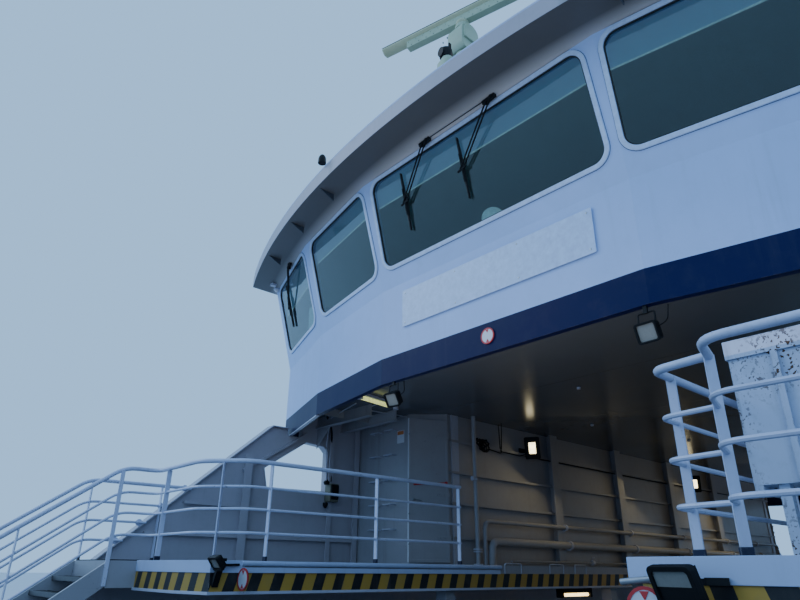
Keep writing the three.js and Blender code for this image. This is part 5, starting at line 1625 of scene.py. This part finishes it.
LIGHT_X, LIGHT_Y = 11.95, 0.31
slab(search_foot, GROUND, rounded_rectangle(11.8, 12.06, 0.2, 0.47, 0.1, 6), ROOF, ROOF + 0.16)
turned(search_foot, [(0.1, 0), (0.08, 0.06), (0.06, 0.1)], (LIGHT_X, RADAR_Y, ROOF + 0.16))
barrel = [(0.03, 0), (0.075, 0.02), (0.09, 0.08), (0.08, 0.15), (0.045, 0.18), (0, 0.185)]
turned(search_head, barrel, (LIGHT_X, LIGHT_Y, ROOF + 0.24))
for side in (-0.07, 0.07):
    box(search_head, around(LIGHT_X, 0.02), around(LIGHT_Y + side, 0.01), (ROOF + 0.38, ROOF + 0.46))
glass_rim = [(0.05, 0), (0.062, 0.05), (0.062, 0.06)]
turned(search_head, glass_rim, (11.98, LIGHT_Y, ROOF + 0.33), (1, -0.2, -0.1), 20)
for name, end in ENDS.items():
    make(f"radar_gearbox_{name}", [gearbox.placed(end, end)], scanner_paint, 0.012,
         replaces=(f"radar_pedestal_{name}",))
    make_all([(end, end)],
             ("radar_bolts", foot_bolts, stainless),
             ("searchlight_foot", search_foot, scanner_paint, 0.02),
             ("searchlight_head", search_head, black_metal, 0.003), tail=f"_{name}")
print("gearboxes and searchlights:", len(ENDS))

# %% Radar scanners
SCANNER_REST = radians(105)
ARRAY = [(-0.06, 12.315), (0.03, 12.305), (0.085, 12.35), (0.085, 12.375), (0.06, 12.4), (-0.06, 12.4)]
ARRAY_EDGE = [(0.055, 12.396), (0.088, 12.37), (0.09, 12.376), (0.058, 12.404)]
CHANNEL = [(-0.05, 12.2), (0.05, 12.2), (0.055, 12.315), (-0.055, 12.315)]
along = Vector((cos(SCANNER_REST), sin(SCANNER_REST), 0))


def beam(middle, outward, half_length, section, taper=0):
    """A beam with its section drawn across it, its ends drawn in by the taper."""
    return Drawing().loft([[middle + along * (s * half_length) + outward * (a * (1 - t)) + Vector((0, 0, b))
                            for a, b in section]
                           for s, t in ((-1, taper), (-0.99, 0), (0.99, 0), (1, taper))])


for name, end in ENDS.items():
    centre = Vector((RADAR_X * end, RADAR_Y * end, 0))
    outward = Vector((along.y, -along.x, 0)) * end
    rivets, hub = new_drawings(2)
    for i in range(14):
        for z, shift in ((12.225, 0), (12.285, 0.05)):
            head_at = centre + along * (0.12 * i - 0.78 + shift) + outward * 0.051 + Vector((0, 0, z))
            turned(rivets, [(0.007, 0), (0.005, 0.003)], head_at, outward, 8)
    turned(hub, [(0.07, 0), (0.09, 0.03), (0.09, 0.05)], centre + Vector((0, 0, 12.163)))
    make(f"radar_array_{name}", [beam(centre, outward, 1.27, ARRAY, 0.12), hub], scanner_face, 0.008,
         body=f"radar_{name}", replaces=(f"radar_scanner_{name}",))
    make_all([(1, 1)],
             ("channel", beam(centre, outward, 0.86, CHANNEL), scanner_paint, 0.004),
             ("array_edge", beam(centre, outward, 1.262, ARRAY_EDGE), black_metal),
             ("rivets", rivets, dark_steel), head="radar_", tail=f"_{name}", body=f"radar_{name}")
print("radars dressed:", len(ENDS))

# %% [markdown]
# The visor's edge also carries a black dome and, under its corner, a small lamp with its
# junction box. On the flat roof stand hatches, mushroom vents, coolers and whip aerials.
# Most of them are turned shapes, each drawn as half of its outline.

# %% Roof gear
SOFFIT_LAMP = (10.36, 6.22)
TURNED_PAIR = [(1, 1), (-1, -1)]
domes, soffit_boxes, soffit_lens, hatches, vents, grilles, whips = new_drawings(7)
dome_top = [(radius, height + 0.05) for radius, height in dome(0.062, 0.11)]
turned(domes, [(0.062, 0), (0.062, 0.05), *dome_top], (12.02, 2.27, ROOF))
turned(soffit_boxes, [(0.07, 0), (0.07, 0.03)], (*SOFFIT_LAMP, SOFFIT), (0, 0, -1))
box(soffit_boxes, (10.5, 10.6), (6.0, 6.1), (SOFFIT - 0.05, SOFFIT))
tube(soffit_boxes, [(10.55, 6.05, SOFFIT - 0.02), (10.4, 6.2, SOFFIT - 0.02)], 0.01)
turned(soffit_lens, [(0.055, 0), *dome(0.055, 0.045)], (*SOFFIT_LAMP, SOFFIT - 0.03), (0, 0, -1))
for x, y in ((7.4, 0), (3.0, -2.6)):
    for half, radius, z0, z1 in ((0.42, 0.08, 0, 0.22), (0.47, 0.1, 0.22, 0.27)):
        outline = rounded_rectangle(*around(x, half), *around(y, half), radius, 4)
        slab(hatches, GROUND, outline, ROOF + z0, ROOF + z1)
    for side in (-0.3, 0.3):
        box(hatches, (x - 0.5, x - 0.44), around(y + side, 0.05), (ROOF + 0.1, ROOF + 0.27))
    turned(vents, [(0.012, 0), (0.012, 0.05), (0.05, 0.05), (0.05, 0.062)], (x, y, ROOF + 0.27), sides=20)
mushroom = [(0.09, 0), (0.09, 0.02), (0.065, 0.03), (0.065, 0.3), (0.14, 0.33), (0.15, 0.38), (0.09, 0.44),
            (0, 0.45)]
for x, y in ((6.2, 2.2), (6.2, -1.4), (3.4, 3.4), (1.9, -3.3), (8.6, 3.9), (8.6, -3.9)):
    turned(vents, mushroom, (x, y, ROOF))
for x, y in ((4.7, 1.3), (4.7, -0.3)):
    box(hatches, around(x, 0.4), around(y, 0.45), (ROOF + 0.08, ROOF + 0.75))
    turned(grilles, [(0.3, 0), (0.3, 0.015), (0.27, 0.02)], (x, y, ROOF + 0.75), sides=32)
    for i in range(9):
        slat = x - 0.36 + i * 0.08
        box(grilles, (slat, slat + 0.03), (y + 0.45, y + 0.458), (ROOF + 0.16, ROOF + 0.68))
    for foot in (-0.3, 0.3):
        box(grilles, around(x + foot, 0.03), around(y, 0.46), (ROOF, ROOF + 0.08))
for x, y, height in ((9.3, 2.9, 2.4), (9.3, -2.9, 1.9), (2.2, 1.6, 2.8)):
    whip = [(0.05, 0), (0.05, 0.1), (0.022, 0.12), (0.014, 0.6), (0.006, height)]
    turned(whips, whip, (x, y, ROOF), sides=12)
make_all(PORT_AFT_AND_TURNED, ("edge_domes", domes, black_metal))
make_all(QUARTERS,
         ("soffit_lamp_boxes", soffit_boxes, fitting_paint, 0.003, "white_paint"),
         ("soffit_lamp_lenses", soffit_lens, sign_white, 0, "tinted_glass"))
make_all(TURNED_PAIR,
         ("roof_hatches", hatches, white_paint, 0.01),
         ("roof_vents", vents, white_paint, 0.003),
         ("cooler_grilles", grilles, black_metal),
         ("whip_aerials", whips, sign_white))
print("roof gear pieces so far:", len(made_pieces))

# %% [markdown]
# A raft canister is two plastic shells with a joint round the middle, strapped in a cradle
# that is cut to its curve. Each funnel gets louvres on its outer face, a plain panel on the
# inner one, a cap and two pipes.

# %% Raft canisters and funnels
RAFT_X, RAFT_Y, RAFT_Z, RAFT_RADIUS = 4.5, 5.6, ROOF + 0.55, 0.32
FUNNEL_TOP = 12.9
canisters, bands, cradles, louvres, funnel_caps, exhausts = new_drawings(6)
half_shell = [(0, 0.76), (0.2, 0.755), (0.3, 0.72), (RAFT_RADIUS, 0.66), (RAFT_RADIUS, 0.02), (0.33, 0.015)]
shell_profile = [(r, -h) for r, h in half_shell] + half_shell[::-1]
turned(canisters, shell_profile, (RAFT_X, RAFT_Y, RAFT_Z), (1, 0, 0), 40)
cradle_curve = [(RAFT_Y + 0.325 * cos(a), RAFT_Z - 0.325 * sin(a))
                for a in [radians(30 + 12 * i) for i in range(11)]]
saddle = [(5.28, ROOF), (5.92, ROOF), (5.92, ROOF + 0.42), (5.85, ROOF + 0.42), *cradle_curve,
          (5.35, ROOF + 0.42), (5.28, ROOF + 0.42)]
for x in around(RAFT_X, 0.4):
    band = [(0.325, -0.025), (0.329, -0.025), (0.329, 0.025), (0.325, 0.025)]
    turned(bands, band, (x, RAFT_Y, RAFT_Z), (1, 0, 0), 40)
    box(bands, around(x, 0.03), (5.24, 5.29), (ROOF + 0.4, RAFT_Z))
    slab(cradles, cross_plane(x), saddle, -0.05, 0.05)
for y in (5.3, 5.84):
    box(cradles, around(RAFT_X, 0.5), (y, y + 0.06), (ROOF, ROOF + 0.05))
funnel_side = long_plane(5.3, -1)
for i in range(8):
    v = ROOF + 0.35 + i * 0.11
    slab(louvres, funnel_side, rectangle(*around(0, 0.75), v, v + 0.07), 0, 0.02)
louvre_frame = [rectangle(*around(0, half), ROOF + low, ROOF + high)
                for half, low, high in ((0.82, 0.27, 1.3), (0.77, 0.32, 1.25))]
collar(louvres, funnel_side, *louvre_frame, 0, 0.03)
inner_panel = rounded_rectangle(-0.4, 0.4, ROOF + 0.25, ROOF + 1.45, 0.08, 4)
slab(funnel_caps, long_plane(4.3), inner_panel, 0, 0.03)
box(funnel_caps, around(0, 1.04), (4.26, 5.34), (FUNNEL_TOP, FUNNEL_TOP + 0.03))
pipe_end = [(0.15, 0), (0.145, 0.36), (0.16, 0.36), (0.16, 0.45), (0.13, 0.45), (0.125, 0.2), (0, 0.2)]
for x in (-0.45, 0.45):
    turned(exhausts, pipe_end, (x, 4.8, FUNNEL_TOP), sides=28)
for name, side in SIDES.items():
    make(f"raft_canister_shell_{name}", [canisters.placed(1, side)], raft_plastic,
         replaces=(f"raft_canister_{name}",))
    make_all([(1, side)],
             ("raft_cradle", cradles, white_paint, 0.004),
             ("raft_bands", bands, stainless), tail=f"_{name}")
make_all(PORT_AND_STARBOARD,
         ("funnel_louvres", louvres, navy_paint),
         ("funnel_caps", funnel_caps, navy_paint, 0.008),
         ("funnel_pipes", exhausts, dark_steel))
print("raft canisters:", len(SIDES), "funnels:", len(SIDES))

# %% [markdown]
# The signal mast is redrawn as a smooth tapered tube with stays, steps, lamp brackets, clear,
# red and green lamps and a little wind sensor. It stands amidships. A lamp is three turned
# shapes: a foot, a glass and a cap.

# %% Signal mast
lamp_red = plain("red lamp glass", (0.55, 0.02, 0.02), 0.12)
lamp_green = plain("green lamp glass", (0.01, 0.3, 0.12), 0.12)
mast, lamp_caps, mast_glass, mast_steps, mast_red, mast_green = new_drawings(6)


def spread(radius, turn, z, y=0):
    return (radius * cos(turn), y + radius * sin(turn), z)


def mast_lamp(glass, at, low, high, cap_top):
    turned(lamp_caps, [(0.05, low - 0.04), (0.05, low)], at, sides=20)
    turned(glass, [(0.04, low), (0.04, high)], at, sides=20)
    turned(lamp_caps, [(0.05, high), (0.05, high + 0.02), (0.02, cap_top)], at, sides=20)


MAST_HEIGHT = 15.2 - ROOF
mast_profile = [(0.26, 0), (0.26, 0.03), (0.17, 0.04), (0.16, 0.3), (0.08, MAST_HEIGHT),
                (0, MAST_HEIGHT + 0.01)]
turned(mast, mast_profile, (0, 0, ROOF), sides=32)
for z, half, radius in ((13.65, 1.3, 0.05), (14.54, 0.7, 0.04)):
    tube(mast, [(0, -half, z), (0, half, z)], radius, sides=16, up=(1, 0, 0.01))
    for flip in (-1, 1):
        tube(mast, [(0, flip * half * 0.75, z - 0.03), (0, flip * 0.09, z - 0.45)], 0.018, sides=8)
for i in range(4):
    turn = pi * (i / 2 + 0.25)
    tube(mast, [spread(1.5, turn, ROOF), spread(0.08, turn, 13.2)], 0.02, sides=8)
    turned(mast, [(0.08, 0), (0.08, 0.02)], spread(1.5, turn, ROOF), sides=16)
for i in range(14):
    z = ROOF + 0.45 + i * 0.24
    tube(mast_steps, [(0.1, -0.12, z), (0.24, -0.12, z), (0.24, 0.12, z), (0.1, 0.12, z)], 0.01, 0.03, 6)
for reach, z in ((0.16, 14.9), (0.2, 14.1), (0.24, 12.9)):
    for x in (reach, -reach):
        box(mast, (min(0, x), max(0, x)), around(0, 0.02), (z - 0.09, z - 0.07))
        mast_lamp(mast_glass, (x, 0, z), -0.03, 0.05, 0.09)
for glass, reach, z in ((mast_red, 1.22, 13.78), (mast_green, 0.62, 14.66)):
    for y in (-reach, reach):
        mast_lamp(glass, (0, y, z), -0.04, 0.04, 0.075)
turned(mast_steps, [(0.012, 0), (0.012, 0.28)], (0, 0.35, 14.56), sides=10)
for i in range(3):
    cup = spread(0.11, i * 2 * pi / 3, 14.84, 0.35)
    tube(mast_steps, [(0, 0.35, 14.84), cup], 0.005, sides=6)
    turned(mast_steps, [(0.024, -0.014), (0.02, 0), (0.006, 0.014)], cup, sides=12)
make("mast_tube", [mast], white_paint, 0.002, replaces=("signal_mast",))
make_all([(1, 1)],
         ("steps", mast_steps, galvanised),
         ("lamp_caps", lamp_caps, black_metal),
         ("lamp_glass", mast_glass, lamp_glass),
         ("lamp_red", mast_red, lamp_red),
         ("lamp_green", mast_green, lamp_green), head="mast_")
print("mast lamps: 10")

# %% [markdown]
# Stair treads are dark gratings with a steel nosing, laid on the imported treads. Bollards are
# turned smooth with a capped head. The car deck has lashing pots in rows, and the ramps have
# grip bars across them and kerbs along their sides, which ride on the ramps.

# %% Stair treads
TREADS, TREAD_WIDTH = 13, (STAIR_INNER_Y + 0.07, SHELL_INNER_Y - 0.10)
gratings, nosings = new_drawings(2)
for i in range(1, TREADS + 1):
    z = PLATFORM - (PLATFORM - DECK) * i / (TREADS + 1)
    x = STAIR_TOP_X + (PLATFORM - z) / STAIR_SLOPE
    for j in range(5):
        box(gratings, (x - 0.235 + j * 0.045, x - 0.215 + j * 0.045), TREAD_WIDTH, (z - 0.03, z - 0.018))
    box(nosings, (x - 0.012, x + 0.006), TREAD_WIDTH, (z - 0.072, z - 0.016))
    for k in range(12):
        y = TREAD_WIDTH[0] + 0.12 * k
        box(gratings, (x - 0.235, x - 0.012), (y, y + 0.008), (z - 0.03, z - 0.02))
landing = (STAIR_INNER_Y + 0.08, SHELL_INNER_Y - 0.1)
box(gratings, (STAIR_TOP_X - 0.4, STAIR_TOP_X - 0.02), landing, (PLATFORM, PLATFORM + 0.012))
make_all(QUARTERS, ("tread_gratings", gratings, black_metal), ("tread_nosings", nosings, dark_steel))
print("treads on each stair:", TREADS)

# %% Bollards and lashing pots
BOLLARD_X, BOLLARD_Y = 20.3, 4.75
posts, bollard_bases, pots, pot_bars, cleats = new_drawings(5)
post_profile = [(0.15, 0.04), (0.15, 0.055), (0.11, 0.07), (0.108, 0.40), (0.15, 0.42), (0.155, 0.44),
                (0.15, 0.47), (0.06, 0.485), (0, 0.485)]
for x in around(BOLLARD_X, 0.275):
    turned(posts, post_profile, (x, BOLLARD_Y, DECK), sides=32)
    tube(posts, [(end, BOLLARD_Y, DECK + 0.2) for end in around(x, 0.16)], 0.022, sides=12)
base = rounded_rectangle(*around(BOLLARD_X, 0.55), *around(BOLLARD_Y, 0.2), 0.05, 4)
slab(bollard_bases, GROUND, base, DECK, DECK + 0.04)
for x in (19.82, BOLLARD_X, 20.78):
    for y in (4.6, 4.9):
        turned(posts, [(0.018, 0.04), (0.018, 0.056)], (x, y, DECK), sides=6)
for place_in, name in QUARTER_NAMES.items():
    make(f"bollard_posts_{name}", everywhere(posts, [place_in]), dark_steel, replaces=(f"bollards_{name}",))
    make(f"bollard_base_{name}", everywhere(bollard_bases, [place_in]), dark_steel, 0.006)
pot_profile = [(0.085, 0), (0.085, 0.006), (0.065, 0.012), (0.055, 0.004), (0, 0.003)]
pot_places = [(1.5 + 3.0 * i, y) for i in range(6) for y in (0, 1.9, 3.6, 5.3)]
pot_places += [(19.5, y) for y in (0, 1.9, 3.4)]
for x, y in pot_places:
    turned(pots, pot_profile, (x, y, DECK), sides=20)
    tube(pot_bars, [(end, y, DECK + 0.012) for end in around(x, 0.05)], 0.009, sides=6)
for x, y in ((18.3, 5.65), (21.6, 4.9)):
    for x0, x1, low in ((-0.3, 0.3, 0.55), (-0.3, -0.22, 0.25), (0.22, 0.3, 0.25)):
        box(cleats, (x + x0, x + x1), (y - 0.1, y - 0.02), (DECK + low, DECK + 0.63))
make_all(QUARTERS,
         ("lashing_pots", pots, dark_steel),
         ("lashing_bars", pot_bars, galvanised),
         ("cleat_frames", cleats, fitting_paint, 0.006, "white_paint"))
print("lashing pots:", len({(x * end, y * side) for x, y in pot_places for end, side in QUARTERS}))

# %% Ramps
RAMP_HINGE, RAMP_TILT = (23.16, 0, 2.98), radians(75)
grips, kerbs, ramp_pads = new_drawings(3)
ramp_top = Plane(RAMP_HINGE, (cos(RAMP_TILT), 0, sin(RAMP_TILT)), (0, 1, 0))
for i in range(18):
    a = 0.45 + i * 0.25
    for y in (-2.6, -0.9, 0.9, 2.6):
        slab(grips, ramp_top, rectangle(a, a + 0.03, *around(y, 0.55)), 0, 0.016)
for flip in (-1, 1):
    slab(kerbs, ramp_top, rectangle(0.4, 4.9, *around(flip * 3.12, 0.03)), 0, 0.09)
    for a in (1.6, 3.4):
        pad = rounded_rectangle(*around(a, 0.12), *around(flip * 2.95, 0.05), 0.03, 4)
        slab(kerbs, ramp_top, pad, 0, 0.03)
slab(ramp_pads, ramp_top, rectangle(4.94, 5.0, -3.1, 3.1), -0.1, 0.004)
for name, end in ENDS.items():
    make_all([(end, 1)],
             ("grips", grips, dark_steel),
             ("kerbs", kerbs, hazard_paint, 0.004, "white_paint"),
             ("lip", ramp_pads, dark_steel), head="ramp_", tail=f"_{name}", body=f"ramp_{name}")
print("ramps face inboard:", ramp_top.w.x < 0)

# %% [markdown]
# Below the water the thruster legs and propellers are redrawn smooth. The legs ride on the
# steering bodies and the propellers on the shafts. A blade is a loft through six sections
# that twist towards the tip. The hull gets scupper lips, anodes, draught bars without
# figures and a short ladder at each quarter.

# %% Thrusters and propellers
SHAFT_X, SHAFT_Z, SCREW_X = 18.9, 0.8, 19.452
BLADE = [(0.14, 0.2, 0), (0.25, 0.3, -0.01), (0.38, 0.38, -0.03), (0.5, 0.36, -0.03), (0.6, 0.26, 0),
         (0.648, 0.12, 0.03)]
legs, screws, hub_caps = new_drawings(3)
pod_profile = [(0, -0.56), (0.1, -0.55), (0.19, -0.48), (0.235, -0.3), (0.245, 0), (0.235, 0.25),
               (0.205, 0.52), (0.2, 0.55)]
turned(legs, pod_profile, (SHAFT_X, 0, SHAFT_Z), (1, 0, 0), 36)
turned(legs, [(0.26, 0.05), (0.28, 0.35), (0.33, 0.6), (0.4, 0.7195)], (SHAFT_X, 0, SHAFT_Z), sides=36)
hub_profile = [(0.2, 0), (0.2, 0.05), (0.19, 0.14), (0.15, 0.24), (0.09, 0.32), (0, 0.342)]
turned(hub_caps, hub_profile, (SCREW_X, 0, SHAFT_Z), (1, 0, 0), 36)


def blade_section(radius, chord, skew, turn):
    pitch = radians(28 + (0.4 - radius) * 45)
    outward = Vector((0, cos(turn), sin(turn)))
    sideways = Vector((0, -sin(turn), cos(turn)))
    ring = []
    for across, thick in circle(0, 0, 1, 12):
        across, thick = skew + chord / 2 * across, 0.02 * (1.1 - radius) * thick
        tangent = across * cos(pitch) - thick * sin(pitch)
        axial = across * sin(pitch) + thick * cos(pitch)
        root = Vector((SCREW_X + 0.16 + axial * 0.75, 0, SHAFT_Z))
        ring.append(root + outward * radius + sideways * tangent)
    return ring


for i in range(4):
    screws.loft([blade_section(*section, i * pi / 2) for section in BLADE])
for name, end in ENDS.items():
    make(f"thruster_pod_{name}", [legs.placed(end)], dark_steel, body=f"thruster_{name}",
         replaces=(f"thruster_leg_{name}",))
    make(f"propeller_blades_{name}", [screws.placed(end), hub_caps.placed(end)], bronze, body=f"screw_{name}",
         replaces=(f"propeller_{name}",))
print("blades on each propeller: 4")

# %% Hull fittings
hull_side = long_plane(SHELL_OUTER_Y, -1)
scuppers, anodes, draught_bars, ladders = new_drawings(4)
lip_profile = [(0.06, 0), (0.06, 0.02), (0.045, 0.025), (0.04, 0.005)]
for i in range(8):
    turned(scuppers, lip_profile, (0.9 + 2.25 * i, SHELL_OUTER_Y, 2.45), (0, 1, 0), 20)
for x in (2.0, 6.0, 10.0, 14.0):
    slab(anodes, hull_side, rounded_rectangle(*around(-x, 0.25), 0.7, 0.86, 0.05, 4), 0, 0.05)
for i in range(7):
    z = 1.2 + i * 0.2
    slab(draught_bars, hull_side, rectangle(-15.6, -15.48 if i % 2 else -15.4, z, z + 0.03), 0, 0.002)
for x in (13.9, 14.3):
    box(ladders, around(x, 0.025), (SHELL_OUTER_Y, SHELL_OUTER_Y + 0.1), (2.9, 4.05))
for i in range(4):
    tube(ladders, [(x, SHELL_OUTER_Y + 0.08, 3.05 + i * 0.3) for x in (13.9, 14.3)], 0.016, sides=8)
make_all(QUARTERS,
         ("scupper_lips", scuppers, hull_paint),
         ("anodes", anodes, galvanised, 0.01),
         ("draught_bars", draught_bars, sign_white),
         ("side_ladders", ladders, fitting_paint, 0.004, "white_paint"))
print("all pieces:", len(made_pieces))

# %% [markdown]
# The studio is plain: a pale floor at the waterline, a pale blue surround and large soft
# lamps. The big ones stand off the port quarter, where the open sky was, and beyond the
# forward end, and a weak one fills the near side. A lamp below and in front of each end of
# the bridge faces up, for the light that a deck throws back, and small warm ones line the
# tunnel.

# %% Floor and surround
half_floor = 200.0
floor_mesh = bpy.data.meshes.new("studio_floor")
floor_corners = rectangle(*around(0, half_floor), *around(0, half_floor))
floor_mesh.from_pydata([(x, y, WATERLINE * MODEL_SCALE) for x, y in floor_corners], [], [(0, 1, 2, 3)])
floor = bpy.data.objects.new("studio_floor", floor_mesh)
bpy.context.scene.collection.objects.link(floor)
floor_paint = plain("studio floor", (0.62, 0.66, 0.72), 0.7, grain=0.6, change=0.02, bump_strength=0.0)
floor_mesh.materials.append(floor_paint)

world = bpy.data.worlds.new("pale studio")
bpy.context.scene.world = world
world.use_nodes = True
background = world.node_tree.nodes["Background"]
background.inputs["Color"].default_value = (0.36, 0.63, 1.0, 1.0)
background.inputs["Strength"].default_value = 1.15
print("floor at", WATERLINE * MODEL_SCALE, "m")

# %% Studio lamps
def area_lamp(name, real_place, real_target, size, power, colour, in_gloss=True):
    data = bpy.data.lights.new(name, "AREA")
    data.shape, data.size, data.energy, data.color = "DISK", size, power, colour
    lamp = bpy.data.objects.new(name, data)
    bpy.context.scene.collection.objects.link(lamp)
    start, target = Vector(real_place) * MODEL_SCALE, Vector(real_target) * MODEL_SCALE
    lamp.location = start
    lamp.rotation_mode = "QUATERNION"
    lamp.rotation_quaternion = (target - start).to_track_quat("-Z", "Y")
    lamp.visible_glossy = in_gloss
    return lamp


area_lamp("sky side", (-40, 40, 40), (-8, 2, 7), 16.0, 2000, (0.74, 0.87, 1.0))
area_lamp("near side", (-46, -34, 20), (-8, -2, 7), 14.0, 330, (0.76, 0.88, 1.0))
area_lamp("far side", (50, -20, 45), (8, 0, 7), 18.0, 2200, (0.95, 0.97, 1.0))
for end in ENDS.values():
    bounce = area_lamp("light off the deck", (end * 13.6, 0, 7.2), (end * 13.2, 0, 10.2), 4.0, 19,
                       (1.0, 0.97, 0.95), in_gloss=False)
    bounce.visible_camera = False
for x, power in ((-5.2, 4), (-1.2, 4.5), (3.0, 7)):
    for end in ENDS.values():
        area_lamp("tunnel lamp", (end * x, end * 2.6, 7.7), (end * (x - 1.0), end * 1.6, 5.6), 1.2, power,
                  (1.0, 0.79, 0.4), in_gloss=False)
print("lamps:", len(bpy.data.lights))

# %% Size and finish
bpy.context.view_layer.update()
triangles = {p.name: sum(len(f.vertices) - 2 for f in p.data.polygons) for p in made_pieces}
print("pieces:", len(made_pieces), "triangles:", sum(triangles.values()), "most:", max(triangles.values()))
